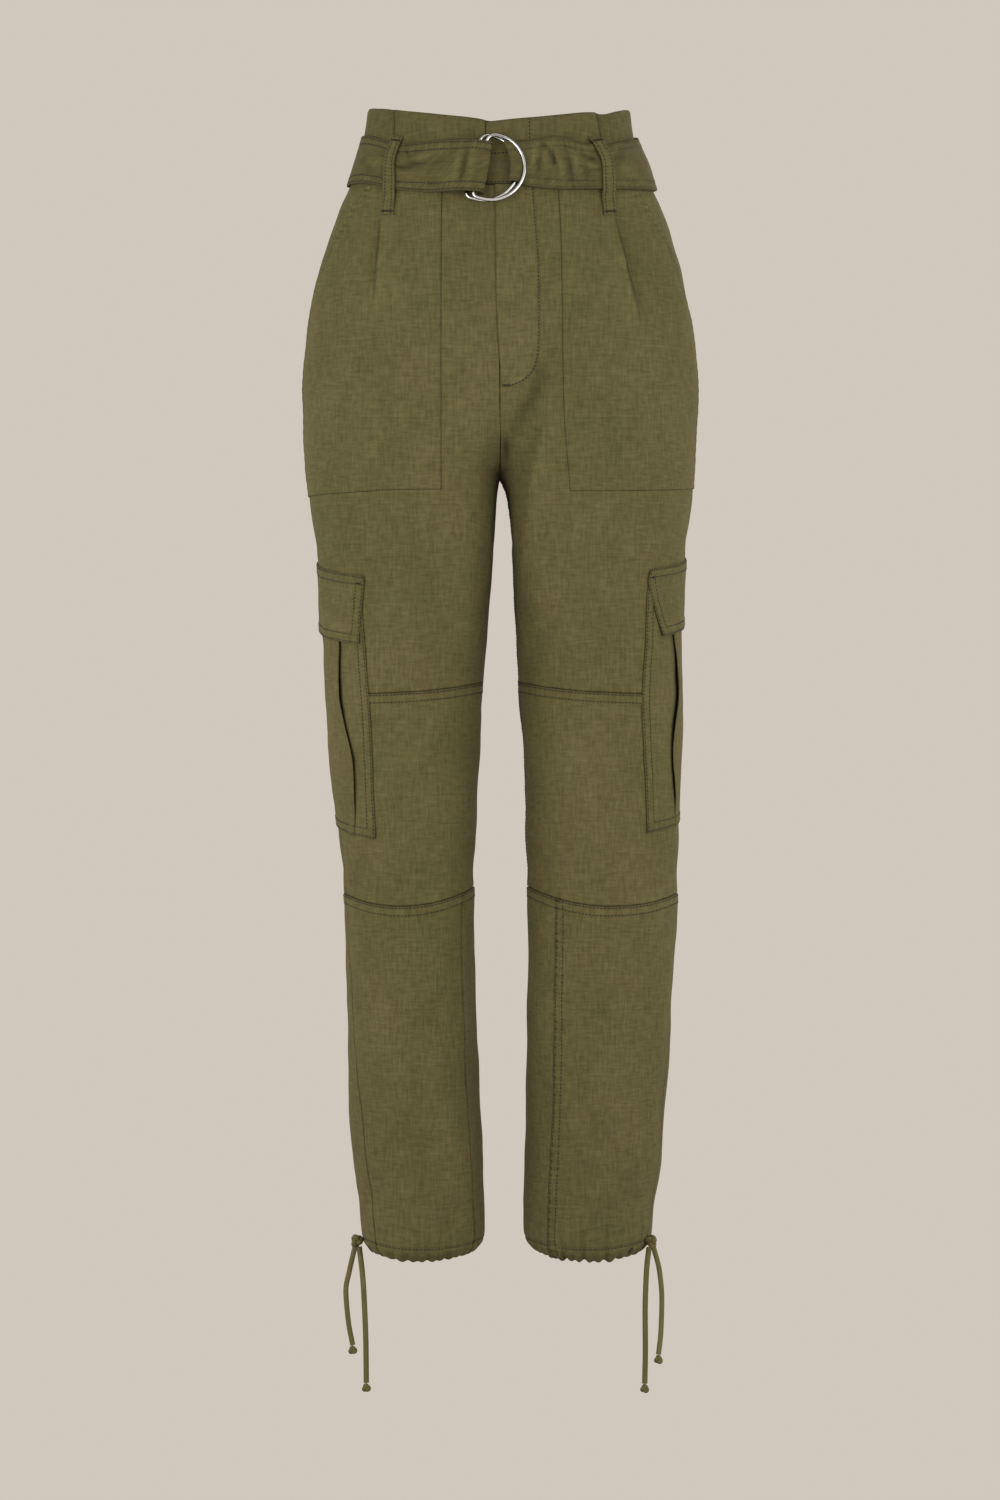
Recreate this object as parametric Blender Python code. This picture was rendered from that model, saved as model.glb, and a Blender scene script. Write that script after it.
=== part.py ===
"""Cargo trousers: high waist, paperbag waistband, self belt with two D-rings, patch and cargo pockets,
knee panels and drawcord hems. Each cut piece of cloth is a closed wall bent onto one worn form.

Frame: +Z up, the front faces -Y, the wearer's left leg is at +X, and the origin is at the waist.
"""

import math

import bmesh
import bpy
import numpy as np

MM = 0.001  # every size below is in millimetres

CLOTH = 1.2  # wall of a leg panel
PATCH = 1.0  # wall of a piece laid on a panel
BAND = 1.6  # wall of the waistband and of the flaps, two plies
GAP = 0.3  # between neighbours at a seam, and between layers
SHARP = math.radians(40)  # edges sharper than this are not shaded smooth

SIDES = {"left": 1, "right": -1}  # the wearer's, and the sign of x

TOP_EDGE = 54.0
WAIST_SEAM = -10.0
CROTCH = -284.0
HEM = -989.0
HEM_DEPTH = 15.0
CORD_CHANNEL = 2.0  # bending radius of the turned-up hem
SEAM_BLEND = 70.0  # height over which a panel's rows bend towards a curved seam
FRONT_OPENING_X = -4.0
FLY_BOTTOM = -207.0
FLY_LAP_X = -24.0  # a column line on the right front, beside the opening
TUCK = 37.0  # degrees round from the outside to the waistband's tuck
TUCK_DEPTH = 1.5

BELT_Z = 5.0
BELT_WIDTH = 46.0
BELT_WALL = 1.6
BELT_OFFSET = 2.1  # from the form to the inner face of the belt
RING_WIRE = 3.2
RING_RADIUS = 29.6
RING_ARM = 10.0
RING_LEAN = 12.6  # degrees
RING_YAW = 1.5
RING_CENTRE = (-7.8, -12.0)  # x and z of the front ring's bow
RING_SHIFT = 6.0  # the back ring lies this much nearer the looped end

PATCH_BOTTOM = -301.0
FLAP_TOP = -364.0
FLAP_HEIGHT = 62.0
CARGO_TOP = -381.0
CARGO_BOTTOM = -600.0
CARGO_HALF = 84.0
CARGO_DROP = 0.13  # how far the pocket's front corners hang lower, per mm of width

CORD_DIAMETER = 5.0

# The worn form from the top edge to the crotch. right and left are half widths, front and back are
# depths. spread is how far from the centre plane the middle of each leg's oval lies, and overlap how
# far its inner end reaches past that plane, both as shares of the half width.
HIPS = (
    # z, right, left, front, back, spread, overlap, square
    (56, 118, 116, -88, 90, 0.000, 1.000, 2.10),
    (28, 122, 120, -91, 92, 0.000, 1.000, 2.10),
    (4, 130, 131, -95, 96, 0.000, 1.000, 2.10),
    (-18, 137, 138, -99, 101, 0.000, 1.000, 2.12),
    (-40, 147, 147, -103, 108, 0.040, 0.920, 2.15),
    (-70, 157, 158, -108, 117, 0.095, 0.820, 2.20),
    (-110, 168, 168, -113, 126, 0.170, 0.680, 2.30),
    (-160, 176, 176, -117, 132, 0.250, 0.540, 2.40),
    (-215, 179, 179, -117, 133, 0.345, 0.400, 2.48),
    (-250, 178.2, 178.2, -115.8, 130.4, 0.422, 0.220, 2.46),
    (-273, 176.3, 177, -114.2, 127.7, 0.466, 0.060, 2.43),
    (-284, 175.1, 176.2, -113.3, 126.1, 0.485, 0.000, 2.41),
)
# Each leg from the crotch to the hem: outer and inner distances from the centre plane.
LEGS = (
    # z, right, right_in, left_in, left, front, back, square
    (-304, 172.7, 3, 7, 174.4, -111.4, 122.9, 2.39),
    (-340, 168.2, 5, 10, 170.2, -107.5, 116.7, 2.33),
    (-395, 162, 10, 14, 164, -101.5, 107.2, 2.26),
    (-486, 154, 16, 18, 162, -92, 94, 2.20),
    (-560, 149, 20, 23, 161, -87, 86, 2.15),
    (-610, 146, 22, 24, 162, -84, 81.5, 2.10),
    (-660, 142, 23, 25, 161, -80, 79.5, 2.10),
    (-704, 141, 24, 25, 160, -76, 79, 2.10),
    (-760, 140, 22, 25, 157, -71, 79, 2.10),
    (-850, 137, 18, 24, 151, -64, 77, 2.10),
    (-905, 134, 15, 22, 147, -61, 73, 2.10),
    (-941, 129, 14, 21, 141, -58, 70, 2.10),
    (-968, 127, 13, 21, 138, -56, 68, 2.10),
    (-978, 125, 15, 23, 136, -55, 67, 2.10),
    (-984, 121, 19, 27, 132, -51, 63, 2.10),
    (-990, 113, 27, 35, 124, -43, 55, 2.10),
)
# How much lower than the sides the garment sits at the centre front and the centre back.
DIPS = (
    # z, front, back
    (-150, 0, 0),
    (-60, 10, 0),
    (-18, 16, 1),
    (28, 18, 3),
    (56, 26, 7),
)
# The seam at the outside of each leg, in degrees round towards the front.
OUTSEAM = (
    # z, right, left
    (-10, 0, 0),
    (-300, 3, 0),
    (-490, 8, -2),
    (-660, 17, 3),
    (-800, 31, 11),
    (-900, 40, 17),
    (-990, 44, 22),
)
# The inner seam of the lower leg, which lies forward of the leg's inside.
SHIN_SEAM = (
    # z, right, left
    (-660, 143, 128),
    (-990, 145, 128),
)
# How much squarer the ovals' corners are on the inside of the leg.
INNER_CORNERS = (
    # z, added squareness
    (-460, 0),
    (-395, 0.8),
    (-304, 1.2),
    (-272, 1.2),
    (-215, 0.6),
    (-160, 0.1),
    (-110, 0),
)
# The fly's J: how far it reaches past the centre at each height.
FLY_OUTLINE = (
    # z, reach
    (-207, 7),
    (-200, 22),
    (-187, 32),
    (-166, 35.5),
    (-120, 36),
    (-10, 31.5),
)
# The front pockets' upright edges, from the centre plane.
POCKET_EDGES = (
    # z, left, right
    (-301, 62, 52),
    (-215, 56, 52),
    (-10, 54, 52),
)
# The front pocket's slanted opening, in degrees round from the outside.
POCKET_MOUTH = (
    # z, degrees
    (-10, 31),
    (-31, 27),
    (-57, 22),
    (-74, 17),
    (-105, 11),
    (-160, 6),
    (-301, 4),
    (-400, 14),
)

COLOURS = {
    "cloth": ((0.118, 0.102, 0.038), 0.92, 0.0),
    "nickel": ((0.78, 0.77, 0.74), 0.16, 1.0),
    "cord": ((0.112, 0.096, 0.036), 0.90, 0.0),
}


def through(xs, ys):
    """A smooth curve through points that overshoots none of them; it takes arrays."""
    order = np.argsort(xs)
    xs = np.array(xs, float)[order]
    ys = np.array(ys, float)[order]
    steps = np.diff(ys) / np.diff(xs)
    slopes = np.zeros(len(xs))
    slopes[0], slopes[-1] = steps[0], steps[-1]
    same = steps[:-1] * steps[1:] > 0
    slopes[1:-1][same] = (2 * steps[:-1] * steps[1:])[same] / (steps[:-1] + steps[1:])[same]

    def at(x):
        x = np.clip(x, xs[0], xs[-1])
        i = np.clip(np.searchsorted(xs, x, side="right") - 1, 0, len(xs) - 2)
        width = xs[i + 1] - xs[i]
        t = (x - xs[i]) / width
        start = ys[i] * (1 + 2 * t) * (1 - t) ** 2 + slopes[i] * width * t * (1 - t) ** 2
        end = ys[i + 1] * t * t * (3 - 2 * t) - slopes[i + 1] * width * t * t * (1 - t)
        return start + end

    return at


def column(table, index):
    return through([row[0] for row in table], [row[index] for row in table])


def body_rows(side):
    """z, outer half width, the oval's middle, its inner end, front, back and squareness."""
    own, outer, inner = (2, 4, 3) if side > 0 else (1, 1, 2)
    rows = [(r[0], r[own], r[own] * r[5], -r[own] * r[6], r[3], r[4], r[7]) for r in HIPS]
    rows += [(r[0], r[outer], (r[outer] + r[inner]) / 2, r[inner], r[5], r[6], r[7]) for r in LEGS]
    return rows


BODY = {side: [column(body_rows(side), k) for k in range(1, 7)] for side in (1, -1)}
FRONT_DIP, BACK_DIP = column(DIPS, 1), column(DIPS, 2)
MOUTH = column(POCKET_MOUTH, 1)
INNER_CORNER = column(INNER_CORNERS, 1)
FLY_REACH = column(FLY_OUTLINE, 1)
POCKET_EDGE = {1: column(POCKET_EDGES, 1), -1: column(POCKET_EDGES, 2)}
SEAM = {1: column(OUTSEAM, 2), -1: column(OUTSEAM, 1)}
INNER_SEAM = {1: column(SHIN_SEAM, 2), -1: column(SHIN_SEAM, 1)}


def power(value, exponent):
    return np.sign(value) * np.abs(value) ** exponent


def form(side, turn, z):
    """The worn form's outer face. turn is the angle round from the outside: pi/2 is the front."""
    out, middle, inner, front, back, square = (rule(z) for rule in BODY[side])
    square = square + np.where(np.cos(turn) < 0, INNER_CORNER(z), 0)
    sine = power(np.sin(turn), 2 / square)
    cosine = power(np.cos(turn), 2 / square)
    x = side * (middle + np.where(cosine > 0, out - middle, middle - inner) * cosine)
    y = (front + back) / 2 - (back - front) / 2 * sine
    dip = FRONT_DIP(z) * np.clip(sine, 0, 1) ** 1.4 + BACK_DIP(z) * np.clip(-sine, 0, 1) ** 1.4
    return np.stack([x, y, z - dip], axis=-1)


def off(side, turn, z, height):
    """A point this far out from the form, along its normal."""
    turn, z, height = np.broadcast_arrays(np.asarray(turn, float), z, height)
    round_ = form(side, turn + 0.01, z) - form(side, turn - 0.01, z)
    up = form(side, turn, z + 1.0) - form(side, turn, z - 1.0)
    normal = np.cross(up, round_) * side
    normal /= np.linalg.norm(normal, axis=-1, keepdims=True)
    return form(side, turn, z) + normal * height[..., None]


def centre_turn(side, z, x=0.0):
    """The angle at which the front meets the plane at x; half a turn once the legs have parted."""
    out, middle, inner, _, _, square = (rule(z) for rule in BODY[side])
    from_middle = side * x - middle
    half = np.where(from_middle > 0, out - middle, middle - inner)
    square = square + np.where(from_middle < 0, INNER_CORNER(z), 0)
    return np.arccos(power(np.clip(from_middle / half, -1, 1), square / 2))


def nudged(side, turn, z, distance):
    """An angle moved by a distance along the cloth."""
    step = form(side, turn + 0.02, z) - form(side, turn - 0.02, z)
    return turn + 0.04 * distance / np.linalg.norm(step, axis=-1)


def outseam(side, z):
    return np.radians(SEAM[side](z))


def upper_knee_seam(turn):
    """Rises towards the inside of the leg."""
    return -481 + 11 * ((1 - np.cos(turn)) / 2) ** 3


def lower_knee_seam(turn):
    """Dips over the shin, and less over the calf."""
    sine = np.sin(turn)
    return -658 - 3 * np.cos(turn) - np.where(sine > 0, 13, 5) * sine**2


def material(kind):
    found = bpy.data.materials.get(kind)
    if found:
        return found
    colour, roughness, metallic = COLOURS[kind]
    made = bpy.data.materials.new(kind)
    made.use_nodes = True
    shader = made.node_tree.nodes["Principled BSDF"]
    shader.inputs["Base Color"].default_value = (*colour, 1)
    shader.inputs["Roughness"].default_value = roughness
    shader.inputs["Metallic"].default_value = metallic
    made.diffuse_color = (*colour, 1)
    return made


def add_object(name, data, kind):
    """Links an object with a material of its own."""
    obj = bpy.data.objects.new(name, data)
    own = material(kind).copy()
    own.name = name
    data.materials.append(own)
    bpy.context.scene.collection.objects.link(obj)
    return obj


def add_mesh(name, bm, kind):
    """Turns a bmesh into an object that is shaded smooth but for its sharp edges."""
    mesh = bpy.data.meshes.new(name)
    bm.to_mesh(mesh)
    bm.free()
    mesh.shade_smooth()
    mesh.set_sharp_from_angle(angle=SHARP)
    return add_object(name, mesh, kind)


def sheet(name, columns, rows, place, kind="cloth"):
    """A piece of cloth: a slab of columns x rows cells, bent by place(u, v, w) in millimetres.

    u runs along the columns, v along the rows and w through the wall, each from 0 to 1.
    """
    bm = bmesh.new()
    bmesh.ops.create_grid(bm, x_segments=columns, y_segments=rows, size=0.5)
    made = bmesh.ops.extrude_face_region(bm, geom=bm.faces[:])
    raised = [item for item in made["geom"] if isinstance(item, bmesh.types.BMVert)]
    bmesh.ops.translate(bm, vec=(0, 0, 1), verts=raised)
    flat = np.array([vert.co for vert in bm.verts])
    points = place(flat[:, 0] + 0.5, flat[:, 1] + 0.5, flat[:, 2]) * MM
    for vert, point in zip(bm.verts, points):
        vert.co = point
    bmesh.ops.recalc_face_normals(bm, faces=bm.faces)
    if bm.calc_volume(signed=True) < 0:
        bmesh.ops.reverse_faces(bm, faces=bm.faces)
    return add_mesh(name, bm, kind)


def stepped(values):
    """Reads a list evenly: 0 gives its first value and 1 its last."""
    places = np.linspace(0, 1, len(values))
    return lambda t: np.interp(t, places, values)


def even(first, last, count):
    """Column lines spread evenly from one seam to another; each gives an angle at a height."""

    def line(share):
        return lambda z: first(z) + (last(z) - first(z)) * share

    return [line(k / count) for k in range(count + 1)]


def on_line(side, lines, u, z):
    """The angle on the nearest column line, with the outermost two drawn in to leave the seam's gap."""
    angles = np.array([line(z) for line in lines])
    toward = 1 if angles[-1].mean() > angles[0].mean() else -1
    angles[0] = nudged(side, angles[0], z, toward * GAP / 2)
    angles[-1] = nudged(side, angles[-1], z, -toward * GAP / 2)
    index = np.rint(u * (len(lines) - 1)).astype(int)
    return angles[index, np.arange(len(z))]


def panel(name, side, levels, lines, low=None, high=None):
    """A leg panel on its column lines, with a row at each of its levels.

    low and high give curved bottom and top edges, in place of the first and the last level.
    """
    level = stepped(levels)

    def place(u, v, w):
        z = level(v)
        turn = on_line(side, lines, u, z)
        if low:
            share = np.clip(1 - (z - levels[0]) / SEAM_BLEND, 0, 1)
            z = z + (low(turn) + GAP / 2 - levels[0]) * share
        if high:
            share = np.clip(1 - (levels[-1] - z) / SEAM_BLEND, 0, 1)
            z = z + (high(turn) - GAP / 2 - levels[-1]) * share
        return off(side, turn, z, CLOTH * (w - 1))

    return sheet(name, len(lines) - 1, len(levels) - 1, place)


def half_turn(z):
    return np.full_like(z, math.pi)


def outside(side):
    return lambda z: outseam(side, z)


def inside(side, sign=1):
    """The centre seam down to the crotch, then the inseam; sign is -1 behind."""
    return lambda z: sign * centre_turn(side, z)


def front_lines(side):
    """Column lines of the front: outseam, pocket mouth, three between, pocket edge, fly, centre."""

    def share(z, turn):
        start = outseam(side, z)
        return (turn - start) / (centre_turn(side, z) - start)

    def mouth(z):
        return share(z, outseam(side, z) + np.radians(MOUTH(z)))

    def pocket(z):
        z = np.maximum(z, PATCH_BOTTOM)
        return share(z, centre_turn(side, z, side * POCKET_EDGE[side](z)))

    def fly(z, part):
        high = np.maximum(z, FLY_BOTTOM)
        x = FLY_REACH(high) * (1 - 0.5 * part) if side > 0 else (FLY_LAP_X, FRONT_OPENING_X)[part]
        above = share(high, centre_turn(side, high, x))
        below = pocket(z) + (1 - pocket(z)) * (part + 1) / 3
        blend = np.clip((FLY_BOTTOM - z) / SEAM_BLEND, 0, 1)
        return above + (below - above) * blend

    def between(k):
        return lambda z: mouth(z) + (pocket(z) - mouth(z)) * k / 4

    shares = [np.zeros_like, mouth, between(1), between(2), between(3), pocket]
    shares += [lambda z: fly(z, 0), lambda z: fly(z, 1), np.ones_like]
    seam = inside(side)

    def line(rule):
        return lambda z: outseam(side, z) + (seam(z) - outseam(side, z)) * rule(z)

    return [line(rule) for rule in shares]


UPPER_LEVELS = [-262, -248, -215, -207, -200, -187, -166, -110, -70, -40, -23]
UPPER_LEVELS.append(WAIST_SEAM - GAP / 2)
CROTCH_LEVELS = [PATCH_BOTTOM, CROTCH, CROTCH + 1.5, CROTCH + 5, CROTCH + 11]


def add_legs():
    thigh = [-481, -440, -395, -340] + CROTCH_LEVELS + UPPER_LEVELS
    knee = [-671, -640, -600, -560, -520, -481]
    seat = [-660, -610, -560, -500, -440, -395, -340] + CROTCH_LEVELS
    seat += [-270, -256, -215, -160, -110, -70, -40, WAIST_SEAM - GAP / 2]
    for word, side in SIDES.items():
        panel(f"front_{word}", side, thigh, front_lines(side), low=upper_knee_seam)
        panel(f"knee_{word}", side, knee, even(outside(side), half_turn, 8),
              low=lower_knee_seam, high=upper_knee_seam)
        panel(f"back_{word}", side, seat, even(outside(side), inside(side, -1), 8),
              low=lower_knee_seam)
        inner = INNER_SEAM[side]
        hemmed(f"shin_{word}", side, even(outside(side), lambda z: np.radians(inner(z)), 8))
        hemmed(f"calf_{word}", side, even(outside(side), lambda z: np.radians(inner(z) - 360), 9))


def hem_profile():
    """The turned-up hem, from the free edge inside, round the fold and up to the knee seam.

    Each point is z, height off the form, and the direction in which the wall is thick.
    """
    middle = -CLOTH / 2
    points = [
        (HEM + HEM_DEPTH, middle - CLOTH - GAP, 0, -1),
        (HEM + HEM_DEPTH - 4, middle - 2 * CORD_CHANNEL, 0, -1),
        (HEM + 6, middle - 2 * CORD_CHANNEL, 0, -1),
        (HEM + CORD_CHANNEL, middle - 2 * CORD_CHANNEL, 0, -1),
    ]
    for degrees in (-135, -90, -45):
        sine, cosine = math.sin(math.radians(degrees)), math.cos(math.radians(degrees))
        centre = middle - CORD_CHANNEL
        points.append((HEM + CORD_CHANNEL * (1 + sine), centre + CORD_CHANNEL * cosine, sine, cosine))
    points.append((HEM + CORD_CHANNEL, middle, 0, 1))
    for z in (HEM + 6, HEM + 13, -945, -890, -800, -704, -671):
        points.append((z, middle, 0, 1))
    return points


def hemmed(name, side, lines):
    """A lower-leg panel, with its hem turned up to make the drawcord's channel."""
    points = hem_profile()
    level, height, along, through_wall = (stepped([p[k] for p in points]) for k in range(4))
    top = points[-1][0]

    def place(u, v, w):
        z = level(v)
        turn = on_line(side, lines, u, z)
        wall = CLOTH * (w - 0.5)
        share = np.clip(1 - (top - z) / SEAM_BLEND, 0, 1)
        lifted = z + along(v) * wall + (lower_knee_seam(turn) - 2 * GAP - top) * share
        return off(side, turn, lifted, height(v) + through_wall(v) * wall)

    return sheet(name, len(lines) - 1, len(points) - 1, place)


def add_waistband():
    """Three pieces that meet at the sides and at the front opening, each with a tuck in front."""
    levels = [WAIST_SEAM + GAP / 2, 10, 31, 42, TOP_EDGE]
    tuck = math.radians(TUCK)
    for word, side in SIDES.items():

        def place(u, v, w, side=side):
            z = stepped(levels)(v)
            last = nudged(side, centre_turn(side, z, FRONT_OPENING_X), z, -GAP / 2)
            first = nudged(side, np.zeros_like(z), z, GAP / 2)
            turn = first + (last - first) * u
            fold = TUCK_DEPTH * np.clip((turn - tuck) / 0.05, 0, 1) * np.clip((z - 30) / 10, 0, 1)
            return off(side, turn, z, fold - CLOTH + BAND * w)

        sheet(f"waistband_{word}", 12, len(levels) - 1, place)

    def behind(u, v, w):
        z = stepped(levels)(v)
        turn = -math.pi * u
        left = off(1, np.clip(turn, -math.pi / 2, -0.002), z, -CLOTH + BAND * w)
        right = off(-1, np.clip(-math.pi - turn, -math.pi / 2, -0.002), z, -CLOTH + BAND * w)
        return np.where((u <= 0.5)[:, None], left, right)

    sheet("waistband_back", 16, len(levels) - 1, behind)


def add_fly():
    """The J-shaped fly facing, laid over the centre seam from the points of both fronts."""
    levels = [level for level in UPPER_LEVELS if level >= FLY_BOTTOM]
    left, right = front_lines(1), front_lines(-1)

    def place(u, v, w):
        z = stepped(levels)(v)
        height = GAP + PATCH * w
        points = off(1, on_line(1, left, (6 + np.clip(u * 3, 0, 2)) / 8, z), z, height)
        lap = off(-1, right[7](z), z, height)
        return np.where((u > 0.9)[:, None], lap, points)

    sheet("fly", 3, len(levels) - 1, place)


def add_patch_pockets():
    """Laid on the fronts from their own points, between the mouth and the pocket's edge."""
    levels = CROTCH_LEVELS + UPPER_LEVELS
    for word, side in SIDES.items():
        lines = front_lines(side)[1:6]

        def place(u, v, w, side=side, lines=lines):
            z = stepped(levels)(v)
            return off(side, on_line(side, lines, u, z), z, GAP + PATCH * w)

        sheet(f"patch_pocket_{word}", 4, len(levels) - 1, place)


def arc_turn(side, z, distance):
    """The angle at a distance round the cloth from the outside, at each height."""
    turns = np.linspace(-math.pi, math.pi, 361)
    found = np.empty(len(z))
    for level in np.unique(z):
        points = form(side, turns, np.full(len(turns), level))
        runs = np.r_[0, np.cumsum(np.linalg.norm(np.diff(points, axis=0), axis=1))]
        here = z == level
        found[here] = np.interp(distance[here] + runs[180], runs, turns)
    return found


# The box pleat across a cargo pocket, from its middle to its edge.
PLEAT = (
    # along the cloth, off the leg, share of the fold line's sway
    (0, 4.3, 0),
    (15, 4.3, 0.3),
    (30, 4.1, 0.7),
    (43, 3.7, 1),
    (44.2, 3.0, 1),
    (43, 2.25, 1),
    (33, 2.25, 1),
    (31.8, 1.6, 1),
    (33, 1.0, 1),
    (41, 1.0, 0.9),
    (50, 1.0, 0.75),
    (61, 1.0, 0.5),
    (72, 1.0, 0.25),
    (CARGO_HALF, 1.0, 0),
)
PLEAT_SWAY = (
    # z, how far the front fold line moves from its place in the table above: left, right
    (-600, -6, 15),
    (-563, -5, 18),
    (-533, -4, 18.5),
    (-505, -8, 11),
    (-474, -15.5, 4),
    (-449, -12, 5),
    (-425, -4, 7),
    (CARGO_TOP, -3, 7),
)
CARGO_LEVELS = (CARGO_BOTTOM, -563, -533, -505, -474, -449, -425, CARGO_TOP)
CARGO_CENTRE = {1: (-4.5, 19), -1: (3, 25.5)}  # round from the outside, at the bottom and the top
CARGO_LIFT = {1: 5.5, -1: 0.0}  # the left pocket sits this much higher
FLAP_LEVELS = (0, 0.35, 0.70, 0.87, 1)
FLAP_HALF = {1: (63.5, 73, 82, 84.5, 83), -1: (79, 82, 86.5, 89, 90)}  # at each of those levels
FLAP_CREST = {1: (56, 66), -1: (63, 75)}  # where the flap comes down from the pleat to the pocket


def add_cargo_pockets():
    across = [(-s, h, 0) for s, h, _ in reversed(PLEAT[1:])] + list(PLEAT)
    for word, side in SIDES.items():
        bottom, top = CARGO_CENTRE[side]
        sways = column(PLEAT_SWAY, 1 if side > 0 else 2)

        def centre(z, bottom=bottom, top=top):
            return np.interp(z, (CARGO_BOTTOM, FLAP_TOP), (bottom, top))

        def body(u, v, w, side=side, centre=centre, sways=sways):
            level = stepped(CARGO_LEVELS)(v)
            along = stepped([p[0] for p in across])(u)
            height = stepped([p[1] for p in across])(u)
            ahead = stepped([p[0] for p in across])(np.clip(u + 0.01, 0, 1))
            behind = stepped([p[0] for p in across])(np.clip(u - 0.01, 0, 1))
            rise = stepped([p[1] for p in across])(np.clip(u + 0.01, 0, 1))
            rise = rise - stepped([p[1] for p in across])(np.clip(u - 0.01, 0, 1))
            length = np.hypot(ahead - behind, rise)
            wall = PATCH * (w - 0.5)
            along = along - rise / length * wall + sways(level) * stepped([p[2] for p in across])(u)
            height = height + (ahead - behind) / length * wall
            turn = arc_turn(side, level, centre(level) + along)
            z = level + CARGO_LIFT[side] - CARGO_DROP * along
            return off(side, turn, z, GAP + height)

        sheet(f"cargo_pocket_{word}", len(across) - 1, len(CARGO_LEVELS) - 1, body)

        def flap(u, v, w, side=side, centre=centre):
            v = stepped(FLAP_LEVELS)(v)
            level = FLAP_TOP - FLAP_HEIGHT * (1 - v)
            half = np.interp(v, FLAP_LEVELS, FLAP_HALF[side])
            along = half * (2 * u - 1)
            lifted = np.interp(np.abs(along), FLAP_CREST[side], (6.1, 2.7))
            low = np.interp(v, FLAP_LEVELS[2:], (1, 0.3, 0))
            height = 0.8 + (lifted - 0.8) * low
            turn = arc_turn(side, level, centre(level) + along)
            z = level + CARGO_LIFT[side] - CARGO_DROP * along
            return off(side, turn, z, height + BAND * w)

        sheet(f"cargo_flap_{word}", 10, len(FLAP_LEVELS) - 1, flap)


def girth_turn(distance, z=BELT_Z):
    """Side and angle at a distance round the belt line from the centre front; + is to the left."""
    turns = np.linspace(math.pi / 2, -math.pi / 2, 181)
    points = form(1, turns, np.full(len(turns), z))
    runs = np.r_[0, np.cumsum(np.linalg.norm(np.diff(points, axis=0), axis=1))]
    return np.interp(np.abs(distance), runs, turns), runs[-1]


HALF_GIRTH = float(girth_turn(0.0)[1])


def round_waist(distance, z, height):
    """A point at a signed distance round the waist from the centre front, past either centre too."""
    distance = np.mod(distance + HALF_GIRTH, 2 * HALF_GIRTH) - HALF_GIRTH
    turn, _ = girth_turn(distance)
    left = off(1, turn * centre_turn(1, z) / (math.pi / 2), z, height)
    right = off(-1, turn * centre_turn(-1, z) / (math.pi / 2), z, height)
    return np.where((distance > 0)[:, None], left, right)


LAYER_1 = BELT_OFFSET + BELT_WALL / 2
LAYER_2 = LAYER_1 + BELT_WALL + GAP
BACK_RING_HEIGHT = BELT_OFFSET + BELT_WALL + GAP + RING_WIRE / 2
RING_STEP = RING_WIRE + 3 * GAP
OVER_RINGS = BACK_RING_HEIGHT + RING_STEP + RING_WIRE / 2 + GAP + BELT_WALL / 2


def belt_path():
    """The strap's middle line: distance round the waist, height, half width and share of lean.

    It starts at the end turned back behind the rings, goes round the wearer's right side and the
    back, comes up through both rings, folds over the back ring's bow and ends at the left side.
    """
    full = BELT_WIDTH / 2
    snug = full - 5
    points = [(-47, LAYER_1, full, 0), (-40, LAYER_1, full, 0), (-16, LAYER_1, full, 0.4)]
    rise = OVER_RINGS + 0.6 - LAYER_1
    for degrees in (-60, -25, 10, 45):
        turn = math.radians(degrees)
        points.append((-15 + 4.6 * math.cos(turn),
                       LAYER_1 + rise / 2 * (1 + math.sin(turn)), full, 0.5))
    points += [(-16.5, OVER_RINGS + 1.1, full, 0.8), (-24, OVER_RINGS + 1.4, full, 1),
               (-31, OVER_RINGS - 0.6, full, 1), (-38, OVER_RINGS - 3.6, full, 1),
               (-45, LAYER_2 + 1.2, full, 0.8), (-53, LAYER_2 - 0.6, full, 0.4),
               (-61, LAYER_1 + 0.1, full, 0)]
    around = np.linspace(-78, -(2 * HALF_GIRTH - 50), 34)
    points += [(g, LAYER_1, full, 0) for g in around]
    to_left = -2 * HALF_GIRTH
    bow = RING_CENTRE[0] - RING_SHIFT + RING_RADIUS
    bow_height = BACK_RING_HEIGHT + 0.7 + (bow - RING_CENTRE[0]) * math.sin(math.radians(RING_YAW))
    top = bow_height + RING_WIRE / 2 + BELT_WALL / 2 + 2 * GAP
    points += [(to_left + 36, LAYER_1, full - 1, 0), (to_left + 24, LAYER_1, snug + 1, 0),
               (to_left + bow - 1, LAYER_1, snug, 0)]
    for degrees in (-55, -20, 20, 55):
        turn = math.radians(degrees)
        points.append((to_left + bow - 1 - 6.2 * math.cos(turn),
                       (LAYER_1 + top) / 2 + (top - LAYER_1) / 2 * math.sin(turn), snug, 0))
    points += [(to_left + bow - 1, top, snug, 0), (to_left + bow + 2, top - 0.2, snug, 0),
               (to_left + bow + 5, top - 2.7, snug + 1, 0),
               (to_left + bow + 9, LAYER_2 + 1.0, full - 2, 0),
               (to_left + bow + 14, LAYER_2 + 0.2, full - 1, 0),
               (to_left + bow + 21, LAYER_2, full, 0)]
    points += [(to_left + g, LAYER_2, full, 0) for g in np.linspace(54, 222, 11)]
    return points


def bow_offset(height):
    """How far the bow falls back from its widest point, at a height from its middle."""
    return RING_RADIUS - np.sqrt(np.maximum(RING_RADIUS**2 - height**2, 0))


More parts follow.
